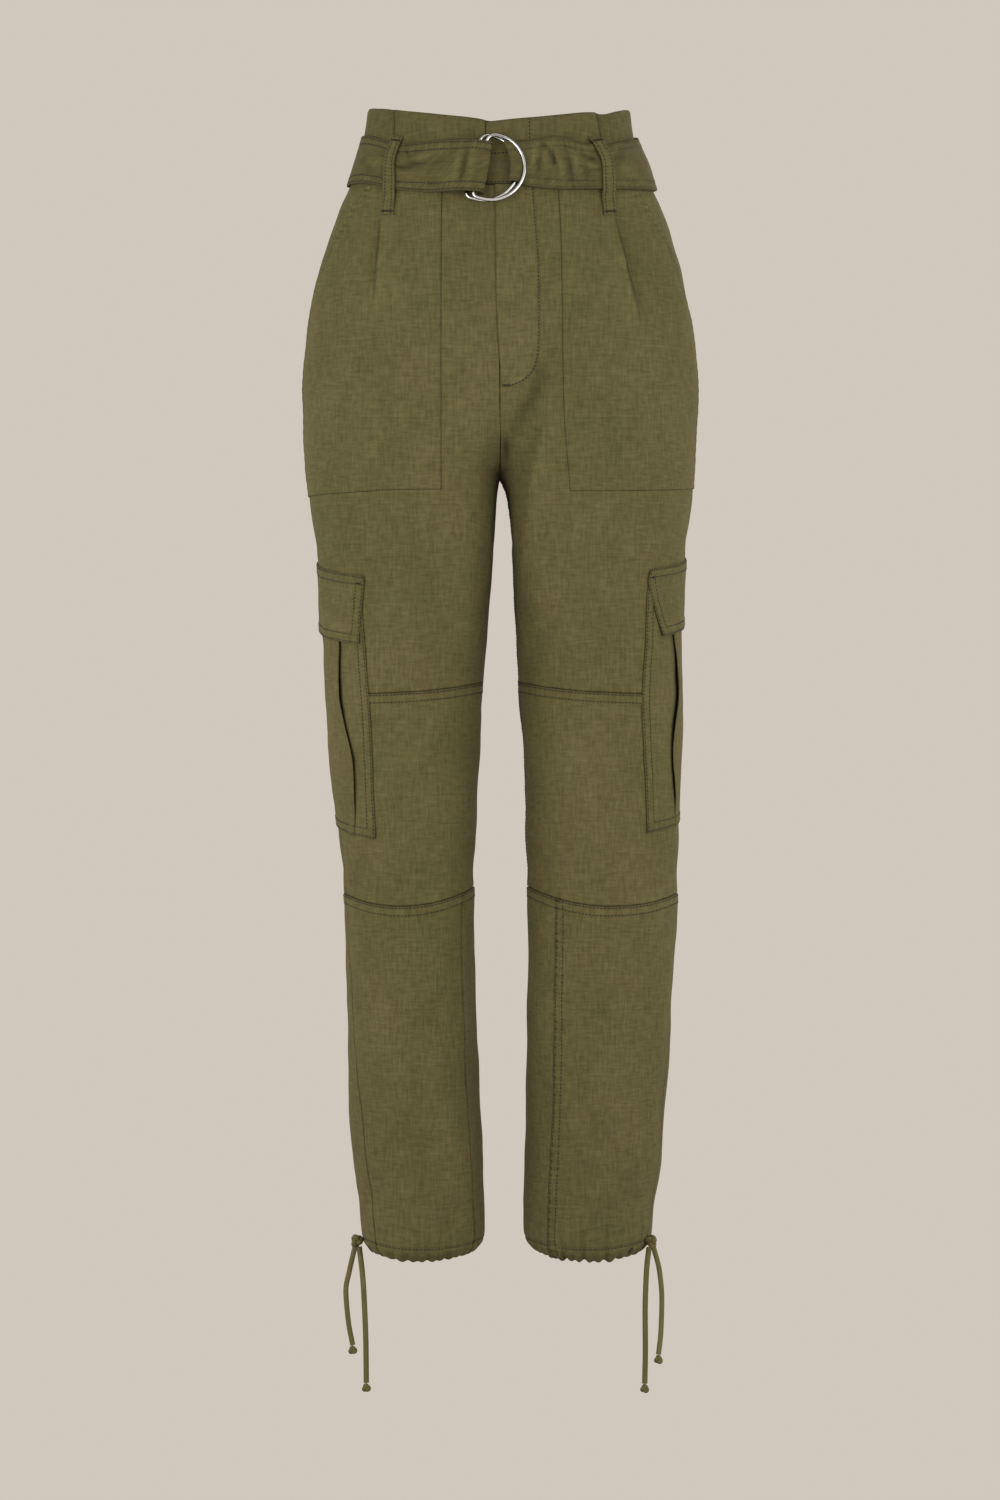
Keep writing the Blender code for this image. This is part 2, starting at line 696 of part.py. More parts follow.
def add_belt():
    points = belt_path()
    girth, height, half, lean = (stepped([p[k] for p in points]) for k in range(4))
    to_left = -2 * HALF_GIRTH
    count = len(points) - 1

    def place(u, v, w):
        before, after = np.clip(u - 0.5 / count, 0, 1), np.clip(u + 0.5 / count, 0, 1)
        run, rise = girth(after) - girth(before), height(after) - height(before)
        length = np.hypot(run, rise)
        wall = BELT_WALL * (w - 0.5)
        across = (2 * v - 1) * half(u)
        distance = girth(u) + rise / length * wall + lean(u) * across * math.tan(math.radians(RING_LEAN))
        near_bow = np.clip(2.2 - np.abs(girth(u) - (to_left + 12)) / 12, 0, 1)
        distance = distance - bow_offset(across) * near_bow
        return round_waist(distance, BELT_Z + across, height(u) - run / length * wall)

    sheet("belt", count, 2, place)


LOOP_WIDTH = 12.0
LOOPS = (
    # name, side, distance round the belt, lean, plies of the belt's tail under it
    ("belt_loop_front_left", 1, 99, -0.20, 1),
    ("belt_loop_front_right", -1, 105, -0.28, 0),
    ("belt_loop_side_left", 1, 262, 0, 0),
    ("belt_loop_side_right", -1, 262, 0, 0),
    ("belt_loop_back", 1, HALF_GIRTH, 0, 0),
)


def add_loops():
    """Belt loops: sewn above the belt, over it and sewn again below it."""
    for name, side, girth, lean, over in LOOPS:
        above = LAYER_1 + BELT_WALL / 2 + GAP + over * (BELT_WALL + GAP)
        profile = [(-43, 1.9), (-33, 2.0), (-25, 2.8), (-20, above), (5, above + 0.3),
                   (28.3, above), (31.5, 3.0), (34, 1.9)]

        def place(u, v, w, side=side, girth=girth, lean=lean, profile=profile):
            z = stepped([p[0] for p in profile])(v)
            height = stepped([p[1] for p in profile])(v)
            across = LOOP_WIDTH * (u - 0.5)
            distance = side * (girth - lean * (z - BELT_Z)) + across
            return round_waist(distance, z, height + PATCH * w)

        sheet(name, 1, len(profile) - 1, place)


def ring_points(steps=24):
    """The D's middle line in its own plane: bow, arm, bar, arm."""
    corner = 4.0
    points = []
    for i in range(steps + 1):
        turn = math.radians(90 - 180 * i / steps)
        points.append((RING_RADIUS * math.cos(turn), RING_RADIUS * math.sin(turn)))
    for sign in (-1, 1):
        arc = [(-RING_ARM + corner * (1 - math.sin(t)), sign * (RING_RADIUS - corner * (1 - math.cos(t))))
               for t in np.linspace(0, math.pi / 2, 4)]
        points += arc if sign < 0 else arc[::-1]
    return points


def add_rings():
    lean, yaw = math.radians(RING_LEAN), math.radians(RING_YAW)
    front = np.full(3, math.pi / 2)
    low, middle, high = off(1, front, np.array([BELT_Z - 30, BELT_Z, BELT_Z + 30]), np.zeros(3))
    surface = middle[1]
    slope = (high[1] - low[1]) / (high[2] - low[2])
    for name, shift, height in (("d_ring_back", RING_SHIFT, BACK_RING_HEIGHT),
                                ("d_ring_front", 0.0, BACK_RING_HEIGHT + RING_STEP)):
        curve = bpy.data.curves.new(name, "CURVE")
        curve.dimensions = "3D"
        curve.bevel_depth = RING_WIRE / 2 * MM
        curve.bevel_resolution = 2
        outline = ring_points()
        spline = curve.splines.new("POLY")
        spline.points.add(len(outline) - 1)
        spline.use_cyclic_u = True
        for point, (along, up) in zip(spline.points, outline):
            x = along * math.cos(lean) + up * math.sin(lean)
            z = up * math.cos(lean) - along * math.sin(lean)
            x += RING_CENTRE[0] - shift
            y = surface - height - (x - RING_CENTRE[0]) * math.sin(yaw) + z * slope
            point.co = (x * MM, y * MM, (z + RING_CENTRE[1]) * MM, 1)
        add_object(name, curve, "nickel")


KNOT_SIZE = (12, 11, 12)
END_KNOT_SIZE = (8.5, 8, 8.8)
TIE_POINTS = 13
TIES = {
    # side: the knot's turn in degrees and its height off the form, then each strand's route from it
    -1: (14, 6.5, (
        ("short", ((-3.0, -1, -6.2), (-6.5, -4, -25), (-9.7, -7, -43), (-7.5, -8, -70), (-3.5, -8, -92))),
        ("long", ((3.0, -1.5, -6.5), (5.5, -6, -30), (7.5, -9, -62), (8.6, -10, -95), (8.9, -10, -126))),
    )),
    1: (24, 5.7, (
        ("long", ((-3.0, -2.0, -6.5), (-4.4, -7, -25), (-5.6, -7, -62), (-5.4, -8, -95), (-6, -8, -126))),
        ("short", ((3.0, -1, -6.4), (7.5, -3, -25), (9.6, -4.5, -50), (8.8, -5.5, -78), (6.5, -6, -100))),
    )),
}


def lump(name, centre, size, kind):
    """A knot of cord: a rounded lump."""
    bm = bmesh.new()
    bmesh.ops.create_icosphere(bm, subdivisions=2, radius=0.5)
    for vert in bm.verts:
        swell = 1 + 0.08 * math.sin(4 * math.atan2(vert.co.y, vert.co.x) + 6 * vert.co.z)
        vert.co = [(c + s * v * swell) * MM for c, s, v in zip(centre, size, vert.co)]
    return add_mesh(name, bm, kind)


def add_ties():
    for word, side in SIDES.items():
        degrees, height, strands = TIES[side]
        z = HEM + 12.5
        centre = off(side, np.radians([degrees]), np.array([z]), np.array([height]))[0]
        lump(f"tie_knot_{word}", centre, KNOT_SIZE, "cord")
        for kind, route in strands:
            route = [tuple(c + p for c, p in zip(centre, point)) for point in route]
            places = np.linspace(0, 1, len(route))
            curve = bpy.data.curves.new(f"tie_{kind}_{word}", "CURVE")
            curve.dimensions = "3D"
            curve.bevel_depth = CORD_DIAMETER / 2 * MM
            curve.bevel_resolution = 2
            curve.use_fill_caps = True
            spline = curve.splines.new("POLY")
            spline.points.add(TIE_POINTS - 1)
            axes = [through(places, [p[k] for p in route]) for k in range(3)]
            for point, t in zip(spline.points, np.linspace(0, 1, TIE_POINTS)):
                point.co = (*(float(axis(t)) * MM for axis in axes), 1)
            add_object(f"tie_{kind}_{word}", curve, "cord")
            x, y, z = route[-1]
            below = (x, y, z - END_KNOT_SIZE[2] / 2 - GAP)
            lump(f"tie_end_{kind}_{word}", below, END_KNOT_SIZE, "cord")


def main():
    for obj in list(bpy.data.objects):
        bpy.data.objects.remove(obj)
    add_legs()
    add_waistband()
    add_fly()
    add_patch_pockets()
    add_cargo_pockets()
    add_belt()
    add_loops()
    add_rings()
    add_ties()


main()
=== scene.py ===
"""Cargo trousers: the cloth, stitching, cords and rings, made round the packed frame."""

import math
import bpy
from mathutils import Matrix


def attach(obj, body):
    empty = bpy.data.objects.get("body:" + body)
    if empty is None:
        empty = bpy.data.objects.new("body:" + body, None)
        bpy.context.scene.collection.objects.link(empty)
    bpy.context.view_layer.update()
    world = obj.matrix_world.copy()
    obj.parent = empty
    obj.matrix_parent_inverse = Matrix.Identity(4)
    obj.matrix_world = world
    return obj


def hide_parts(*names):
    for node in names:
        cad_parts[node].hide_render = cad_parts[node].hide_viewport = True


bl_info = {
    "name": "Cargo trousers",
    "version": (1, 0, 0),
    "blender": (4, 5, 0),
    "location": "3D View > Sidebar > Trousers",
    "description": "High-waisted cargo trousers with a self belt, D-rings and drawcord hems",
    "category": "Object",
}

import bmesh
import bpy
import numpy as np
from bpy.props import FloatProperty, FloatVectorProperty, PointerProperty
from mathutils import Matrix, Vector

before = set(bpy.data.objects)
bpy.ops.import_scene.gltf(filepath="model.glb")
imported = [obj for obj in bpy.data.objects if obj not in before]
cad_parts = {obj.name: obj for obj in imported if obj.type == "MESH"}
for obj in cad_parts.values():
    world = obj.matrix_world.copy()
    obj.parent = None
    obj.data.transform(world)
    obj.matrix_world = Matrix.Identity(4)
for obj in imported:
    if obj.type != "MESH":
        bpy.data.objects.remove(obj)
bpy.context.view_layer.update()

MM = 0.001  # the sizes below are in millimetres
SIDES = {"left": 1, "right": -1}  # the wearer's, and the sign of x

SEAM = 0.12  # half the gap between two panels
ROWS = (1.6, 8.2)  # a double row of stitching, from the folded edge

TOP_EDGE = 54.0
WAIST_SEAM = -10.0
CROTCH = -284.0
MID_LEG = -300.0  # a height that every seam down the leg passes
HEM = -989.0
CASING = 15.0  # height of the drawcord's channel
CASING_ROW = 13.2  # the row of stitches that closes it
HEM_BEND = 2.4  # radius of the fold at the very bottom
BAND_LAP_X = -12.5
FLY_BOTTOM = -208.6
PATCH_BOTTOM = -301.0
BELT_Z = 5.0
BELT_WIDTH = 46.0
RING_RADIUS = 29.6
RING_LEAN = 14.0
RING_CENTRE = (-7.6, -12.2)

# ---------------------------------------------------------------- the worn form

# right and left are half widths, front and back are depths. spread is how far from the centre plane
# the middle of each leg's oval lies, and overlap how far its inner end reaches past that plane.
HIPS = (
    # z, right, left, front, back, spread, overlap, square
    (56, 118, 116, -88, 90, 0.000, 1.000, 2.10),
    (28, 122, 120, -91, 92, 0.000, 1.000, 2.10),
    (4, 130, 131, -95, 96, 0.000, 1.000, 2.10),
    (-18, 137, 138, -99, 101, 0.000, 1.000, 2.12),
    (-40, 147, 147, -103, 108, 0.040, 0.920, 2.15),
    (-70, 157, 158, -108, 117, 0.095, 0.820, 2.20),
    (-110, 168, 168, -113, 126, 0.170, 0.680, 2.30),
    (-160, 176, 176, -117, 132, 0.250, 0.540, 2.40),
    (-215, 179, 179, -117, 133, 0.345, 0.400, 2.48),
    (-250, 178.2, 178.2, -115.8, 130.4, 0.422, 0.220, 2.46),
    (-273, 176.3, 177, -114.2, 127.7, 0.466, 0.060, 2.43),
    (-284, 175.1, 176.2, -113.3, 126.1, 0.485, 0.000, 2.41),
)
LEGS = (
    # z, right, right_in, left_in, left, front, back, square
    (-304, 172.7, 3, 7, 174.4, -111.4, 122.9, 2.39),
    (-340, 168.2, 5, 10, 170.2, -107.5, 116.7, 2.33),
    (-395, 162, 10, 14, 164, -101.5, 107.2, 2.26),
    (-486, 154, 16, 18, 162, -92, 94, 2.20),
    (-560, 149, 20, 23, 161, -87, 86, 2.15),
    (-610, 146, 22, 24, 162, -84, 81.5, 2.10),
    (-660, 142, 23, 25, 161, -80, 79.5, 2.10),
    (-704, 141, 24, 25, 160, -76, 79, 2.10),
    (-760, 140, 22, 25, 157, -71, 79, 2.10),
    (-850, 137, 18, 24, 151, -64, 77, 2.10),
    (-905, 134, 15, 22, 147, -61, 73, 2.10),
    (-941, 129, 14, 21, 141, -58, 70, 2.10),
    (-968, 127, 13, 21, 138, -56, 68, 2.10),
    (-978, 125, 15, 23, 136, -55, 67, 2.10),
    (-984, 121, 19, 27, 132, -51, 63, 2.10),
    (-990, 113, 27, 35, 124, -43, 55, 2.10),
)
DIPS = (
    # z, how much lower than the sides the centre front and the centre back sit
    (-150, 0, 0),
    (-60, 10, 0),
    (-18, 16, 1),
    (28, 18, 3),
    (56, 26, 7),
)
OUTSEAM = (
    # z, right, left, in degrees round from the outside towards the front
    (-10, 0, 0),
    (-300, 3, 0),
    (-490, 8, -2),
    (-660, 17, 3),
    (-800, 31, 11),
    (-900, 40, 17),
    (-990, 44, 22),
)
SHIN_SEAM = (
    # z, right, left
    (-660, 143, 128),
    (-990, 145, 128),
)
INNER_CORNERS = (
    # z, how much squarer the ovals' corners are on the inside of the leg
    (-460, 0),
    (-395, 0.8),
    (-304, 1.2),
    (-272, 1.2),
    (-215, 0.6),
    (-160, 0.1),
    (-110, 0),
)
FLY_OUTLINE = (
    # z, how far the fly's J reaches past the centre
    (-208.6, 8),
    (-201, 24),
    (-188, 33),
    (-166, 36),
    (-120, 36),
    (-10, 30.2),
)
FLY_OPENING = (
    # z, where the fly's folded edge lies
    (-208, 0.8),
    (-195, 0.2),
    (-175, -1.4),
    (-145, -3.1),
    (-100, -4.2),
    (-10, -4.9),
)
POCKET_EDGES = (
    # z, left, right, from the centre plane
    (-301, 62, 52),
    (-215, 56, 52),
    (-80, 54.2, 52),
    (-10, 51.5, 51.5),
)
POCKET_MOUTH = (
    # z, degrees round from the outside
    (-10, 31),
    (-31, 27),
    (-57, 22),
    (-74, 17),
    (-105, 11),
    (-160, 6),
    (-301, 4),
    (-400, 14),
)


def through(xs, ys):
    """A smooth curve through points that overshoots none of them; it takes arrays."""
    order = np.argsort(xs)
    xs = np.array(xs, float)[order]
    ys = np.array(ys, float)[order]
    steps = np.diff(ys) / np.diff(xs)
    slopes = np.zeros(len(xs))
    slopes[0], slopes[-1] = steps[0], steps[-1]
    same = steps[:-1] * steps[1:] > 0
    slopes[1:-1][same] = (2 * steps[:-1] * steps[1:])[same] / (steps[:-1] + steps[1:])[same]

    def at(x):
        x = np.clip(x, xs[0], xs[-1])
        i = np.clip(np.searchsorted(xs, x, side="right") - 1, 0, len(xs) - 2)
        width = xs[i + 1] - xs[i]
        t = (x - xs[i]) / width
        start = ys[i] * (1 + 2 * t) * (1 - t) ** 2 + slopes[i] * width * t * (1 - t) ** 2
        end = ys[i + 1] * t * t * (3 - 2 * t) - slopes[i + 1] * width * t * t * (1 - t)
        return start + end

    return at


def column(table, index):
    return through([row[0] for row in table], [row[index] for row in table])


def clamp(share):
    """Keeps a share between none and all."""
    return np.clip(share, 0, 1)


def bell(distance, width):
    """1 on a line, falling away to nothing on both sides of it."""
    return np.exp(-((distance / width) ** 2))


def fall(distance, width):
    """1 before a line and 0 past it, with a soft change between."""
    return 1 / (1 + np.exp(distance / width))


def body_rows(side):
    """z, outer half width, the oval's middle, its inner end, front, back and squareness."""
    own, outer, inner = (2, 4, 3) if side > 0 else (1, 1, 2)
    rows = [(r[0], r[own], r[own] * r[5], -r[own] * r[6], r[3], r[4], r[7]) for r in HIPS]
    rows += [(r[0], r[outer], (r[outer] + r[inner]) / 2, r[inner], r[5], r[6], r[7]) for r in LEGS]
    return rows


BODY = {side: [column(body_rows(side), k) for k in range(1, 7)] for side in (1, -1)}
FRONT_DIP, BACK_DIP = column(DIPS, 1), column(DIPS, 2)
MOUTH = column(POCKET_MOUTH, 1)
INNER_CORNER = column(INNER_CORNERS, 1)
FLY_REACH = column(FLY_OUTLINE, 1)
POCKET_EDGE = {1: column(POCKET_EDGES, 1), -1: column(POCKET_EDGES, 2)}
OUTER_SEAM = {1: column(OUTSEAM, 2), -1: column(OUTSEAM, 1)}
INNER_SEAM = {1: column(SHIN_SEAM, 2), -1: column(SHIN_SEAM, 1)}


def power(value, exponent):
    return np.sign(value) * np.abs(value) ** exponent


def body(side, z):
    """The form's six measures at each height, for one side or an array of sides."""
    left = np.asarray(side) > 0
    return [np.where(left, own(z), other(z)) for own, other in zip(BODY[1], BODY[-1])]


def form(side, turn, z):
    """The worn form's outer face. turn is the angle round from the outside: pi/2 is the front."""
    out, middle, inner, front, back, square = body(side, z)
    square = square + np.where(np.cos(turn) < 0, INNER_CORNER(z), 0)
    sine = power(np.sin(turn), 2 / square)
    cosine = power(np.cos(turn), 2 / square)
    x = side * (middle + np.where(cosine > 0, out - middle, middle - inner) * cosine)
    y = (front + back) / 2 - (back - front) / 2 * sine
    dip = FRONT_DIP(z) * clamp(sine) ** 1.4 + BACK_DIP(z) * clamp(-sine) ** 1.4
    return np.stack([x, y, z - dip], axis=-1)


SMALL_TURN = 0.01


def form_normal(side, turn, z):
    round_ = form(side, turn + SMALL_TURN, z) - form(side, turn - SMALL_TURN, z)
    up = form(side, turn, z + 1.0) - form(side, turn, z - 1.0)
    normal = np.cross(up, round_) * np.asarray(side)[..., None]
    return normal / np.linalg.norm(normal, axis=-1, keepdims=True)


def centre_turn(side, z, x=0.0):
    """The angle at which the front meets the plane at x; half a turn once the legs have parted."""
    out, middle, inner, _, _, square = body(side, z)
    from_middle = side * x - middle
    half = np.where(from_middle > 0, out - middle, middle - inner)
    square = square + np.where(from_middle < 0, INNER_CORNER(z), 0)
    return np.arccos(power(np.clip(from_middle / half, -1, 1), square / 2))


def outseam(side):
    return lambda z: np.radians(OUTER_SEAM[side](z))


def inside(side, sign=1):
    """The centre seam down to the crotch, then the inseam; sign is -1 behind."""
    return lambda z: sign * centre_turn(side, z)


def upper_knee_seam(turn):
    return -481 + 11 * ((1 - np.cos(turn)) / 2) ** 3


def lower_knee_seam(turn):
    sine = np.sin(turn)
    return -658 - 3 * np.cos(turn) - np.where(sine > 0, 13, 5) * sine**2


def level(z):
    """A straight seam at one height."""
    return lambda turn: np.full_like(turn, z)


# ---------------------------------------------------------------- folds and creases

# Soft troughs and ridges. Each follows a line seen from one side, and is as high as given (a trough
# is negative) and as wide on each side of its line: minus is to the left in that view.
FOLDS = {
    # view: height, width on the minus side, width on the plus side, points (across, z)
    "front": (
        (1.9, 1.4, 16, ((-105, -40), (-107, -62), (-109, -95), (-110.5, -124), (-110, -144))),
        (1.9, 16, 1.4, ((101, -42), (106, -70), (115, -108), (123, -138), (128, -162))),
        (-0.7, 3.5, 1.2, ((-107, -40), (-109, -62), (-111, -95), (-112.5, -124), (-112, -140))),
        (-0.7, 1.2, 3.5, ((103, -42), (108, -70), (117, -108), (125, -138), (129, -158))),
        (-2.2, 8, 9, ((42, -186), (34, -198), (26.5, -220), (17, -236), (9, -252), (5, -272))),
        (2.6, 4.5, 15, ((42, -246), (33, -268), (28, -296), (23, -340), (17, -386), (14.6, -399))),
        (-1.6, 5, 5, ((9, -256), (6, -272), (8, -300), (9, -330))),
        (-1.7, 8, 10, ((-4, -245), (-9, -275), (-14, -320))),
        (1.1, 12, 5, ((-14, -262), (-16, -300), (-21, -360))),
        (1.0, 14, 14, ((-40, -215), (-30, -262), (-30, -330))),
        (-0.9, 22, 22, ((-75, -330), (-60, -400), (-66, -460))),
        (0.8, 18, 22, ((-110, -330), (-98, -420), (-92, -480))),
        (-0.8, 20, 24, ((80, -345), (92, -410), (88, -470))),
        (0.7, 20, 18, ((60, -500), (70, -560), (66, -640))),
        (-0.8, 14, 20, ((-50, -520), (-58, -580), (-52, -650))),
        (-0.8, 12, 16, ((-118, -632), (-105, -655), (-96, -668))),
        (-0.7, 14, 14, ((112, -630), (122, -652), (126, -668))),
        (-0.9, 14, 18, ((-70, -700), (-78, -790), (-70, -900), (-74, -960))),
        (0.8, 14, 16, ((-100, -720), (-102, -820), (-96, -940))),
        (-0.9, 16, 14, ((80, -700), (88, -800), (84, -930))),
        (0.8, 16, 16, ((112, -700), (112, -810), (104, -940))),
        (-0.8, 10, 12, ((-150, -70), (-158, -110), (-160, -150))),
        (-0.8, 12, 10, ((150, -70), (158, -110), (160, -150))),
    ),
    "back": (
        (-2.0, 10, 12, ((-30, -225), (-18, -262), (-6, -300))),
        (-2.0, 12, 10, ((32, -230), (20, -268), (8, -305))),
        (-1.6, 9, 16, ((-78, -290), (-52, -304), (-26, -312))),
        (-1.6, 16, 9, ((74, -286), (50, -302), (24, -314))),
        (1.1, 14, 16, ((-90, -318), (-60, -330), (-30, -332))),
        (1.1, 16, 14, ((90, -314), (62, -328), (32, -334))),
        (-1.2, 12, 16, ((-130, -560), (-92, -585), (-50, -580))),
        (-1.2, 12, 14, ((126, -570), (90, -590), (48, -586))),
        (1.0, 14, 14, ((-128, -600), (-90, -622), (-52, -616))),
        (1.0, 14, 14, ((128, -604), (92, -625), (50, -618))),
        (-1.0, 16, 16, ((-90, -400), (-96, -450), (-88, -520))),
        (-1.0, 16, 16, ((92, -390), (84, -450), (92, -520))),
        (-0.9, 16, 14, ((-80, -720), (-88, -820), (-80, -940))),
        (-0.9, 14, 16, ((84, -730), (78, -830), (86, -930))),
        (-0.8, 14, 18, ((-60, -40), (-70, -90), (-72, -140))),
        (-0.8, 18, 14, ((62, -40), (70, -95), (70, -150))),
    ),
    "left": (
        (-1.2, 10, 14, ((-20, -330), (10, -345), (50, -340))),
        (-1.0, 12, 16, ((50, -620), (20, -640), (-24, -636))),
        (-0.9, 14, 14, ((10, -720), (18, -820), (12, -930))),
    ),
    "right": (
        (-1.2, 10, 14, ((-46, -335), (-8, -346), (26, -332))),
        (-1.0, 14, 12, ((-40, -622), (0, -642), (34, -634))),
        (-0.9, 14, 14, ((-10, -730), (-20, -820), (-12, -920))),
    ),
}
# Painted shade: dark lines along pressed creases, the shade beside them, and broad soft patches of shade.
CREASES = {
    # view: how dark, width on the minus side, width on the plus side, points (across, z)
    "front": (
        (2.2, 1.0, 1.1, ((-106.5, -53), (-107, -65), (-109.5, -95), (-111.5, -130))),
        (0.35, 7, 0.9, ((-106.5, -53), (-107, -65), (-109.5, -95), (-111.5, -130))),
        (2.2, 1.1, 1.0, ((103, -53), (107, -71), (114, -104), (121, -132), (125, -152))),
        (0.35, 0.9, 7, ((103, -53), (107, -71), (114, -104), (121, -132), (125, -152))),
        (0.55, 13, 1.0, ((39, -232), (36, -248), (33, -268), (28, -296),
                   (23, -340), (17, -386), (14.6, -399))),
        (0.75, 6, 8, ((44, -186), (36, -198), (27.5, -220), (17, -236), (9, -252))),
        (1.5, 3, 3, ((4, -252), (4.5, -262), (5, -275), (6, -284))),
        (0.26, 26, 34, ((6, -228), (8, -255), (10, -300), (12, -360))),
        (0.22, 16, 30, ((-150, -52), (-156, -90), (-160, -150))),
        (0.22, 30, 16, ((150, -52), (156, -90), (160, -150))),
    ),
}
VIEWS = {
    # the axis that runs across the view, its sign, and the way the faces seen there point
    "front": (0, 1, (0, -1, 0)),
    "back": (0, -1, (0, 1, 0)),
    "left": (1, -1, (1, 0, 0)),
    "right": (1, 1, (-1, 0, 0)),
}


def line_distance(across, z, points):
    """Signed distance to a line of points, and the share along it.

    Plus is on the line's right as it is followed down.
    """
    points = np.array(points, float)
    best = np.full(across.shape, 1e9)
    signed = np.zeros(across.shape)
    share = np.zeros(across.shape)
    for k in range(len(points) - 1):
        start, step = points[k], points[k + 1] - points[k]
        t = ((across - start[0]) * step[0] + (z - start[1]) * step[1]) / (step @ step)
        inner = clamp(t)
        dx, dz = across - start[0] - inner * step[0], z - start[1] - inner * step[1]
        distance = np.hypot(dx, dz)
        side = np.sign(step[0] * dz - step[1] * dx)
        nearer = distance < best
        best = np.where(nearer, distance, best)
        signed = np.where(nearer, side * distance, signed)
        share = np.where(nearer, (k + inner) / (len(points) - 1), share)
    return signed, share


def folds(point, normal, table=FOLDS):
    """The folds' height at each point of the form."""
    total = np.zeros(point.shape[:-1])
    for view, rows in table.items():
        axis, sign, way = VIEWS[view]
        facing = clamp(normal @ np.array(way, float) * 1.6 - 0.15)
        for height, minus, plus, points in rows:
            reach = 3 * max(minus, plus)
            zs = [p[1] for p in points]
            near = (facing > 0) & (point[..., 2] > min(zs) - reach) & (point[..., 2] < max(zs) + reach)
            if near.any():
                signed, share = line_distance(point[near][:, axis] * sign, point[near][:, 2], points)
                fade = np.sin(math.pi * np.clip(share, 0.02, 0.98)) ** 0.6
                ridge = bell(signed, np.where(signed < 0, minus, plus))
                total[near] += facing[near] * height * fade * ridge
    return total


LEGS_APART = 9.0  # how far from the centre plane a leg's inside is free to fold
DRIFT = (
    # height, wavelengths along x, y and z, start of the wave
    (0.50, 150, 130, 210, 0.4),
    (0.34, -83, 120, 97, 2.1),
    (0.24, 61, -72, 118, 4.4),
    (0.16, 47, 53, -58, 1.2),
    (0.10, -31, 38, 36, 5.3),
)


def drift(point):
    """Slow unevenness of worn cloth."""
    total = np.zeros(point.shape[:-1])
    for height, x, y, z, start in DRIFT:
        phase = point[..., 0] / x + point[..., 1] / y + point[..., 2] / z
        total += height * np.sin(2 * math.pi * phase + start + 1.3 * np.sin(2 * math.pi * phase / 2.7))
    return total


def relief(side, point, normal):
    """All the unevenness of the cloth, held back where the two legs all but touch."""
    inward = clamp(-side * normal[..., 0]) * clamp(1 - np.abs(point[..., 0]) / LEGS_APART)
    return (folds(point, normal) + drift(point)) * (1 - inward)


# ---------------------------------------------------------------- cloth on the form


def spaced(width, count, first, last):
    """Distances across a width: the close lines by each edge, and even ones between."""
    width = np.asarray(width, float)[..., None]
    first, last = np.array(first), np.array(last)[::-1]
    even = np.linspace(0, 1, count + 2)[1:-1]
    low, high = first[-1], width - last[0]
    shape = width.shape[:-1]
    return np.concatenate([np.broadcast_to(first, (*shape, len(first))), low + (high - low) * even,
                           width - np.broadcast_to(last, (*shape, len(last)))], axis=-1)


PLAIN_LINES = (SEAM, 0.7, 1.6, 3.2)
STITCHED_LINES = (SEAM, 0.6, 1.2, 1.9, 2.9, 4.6, 6.4, 7.4, 8.2, 9.0, 10.4)
TONGUE = 3.0  # how far a panel reaches under its neighbour at a lapped seam
UNDER_DEPTH = 1.25  # how much lower it lies there
LAP_ROW = 1.6  # the single row of stitches along a lap
UNDER_LINES = (0, 1.5, 2.7, 3.2, 3.6, 4.0, 4.5, 5.2, 6.6)
LAP_LINES = (SEAM, 0.6, 1.2, 1.8, 2.6, 3.4, 4.4)
EDGE_LINES = {"plain": PLAIN_LINES, "under": UNDER_LINES, "over": STITCHED_LINES, "fold": PLAIN_LINES,
              "lap": LAP_LINES}


def running(points, axis):
    """Distance along a grid's rows or columns."""
    steps = np.linalg.norm(np.diff(points, axis=axis), axis=-1)
    start = np.zeros_like(np.take(steps, [0], axis=axis))
    return np.concatenate([start, np.cumsum(steps, axis=axis)], axis=axis)


def edge_height(kind, distance, tongue):
    """How a panel's face rises or falls towards a seam."""
    groove = -0.45 * bell(distance, 0.6 if kind == "fold" else 0.7)
    if kind == "under":
        reach = tongue / TONGUE
        return -UNDER_DEPTH * fall(distance - 0.60, 0.18) * reach + groove * (1 - reach)
    if kind == "lap":
        band = 0.30 * fall(distance - 3.2, 0.4)
        return band - 0.25 * bell(distance - LAP_ROW, 0.7) - 0.3 * bell(distance, 0.5)
    if kind == "over":
        rows = sum(0.30 * bell(distance - row, 0.75) for row in ROWS)
        return 0.55 * fall(distance - 9.4, 0.5) - rows - 0.35 * bell(distance, 0.5)
    return groove


PLUMB_X = 80.0  # from the centre plane to the line down each leg where the weave hangs plumb


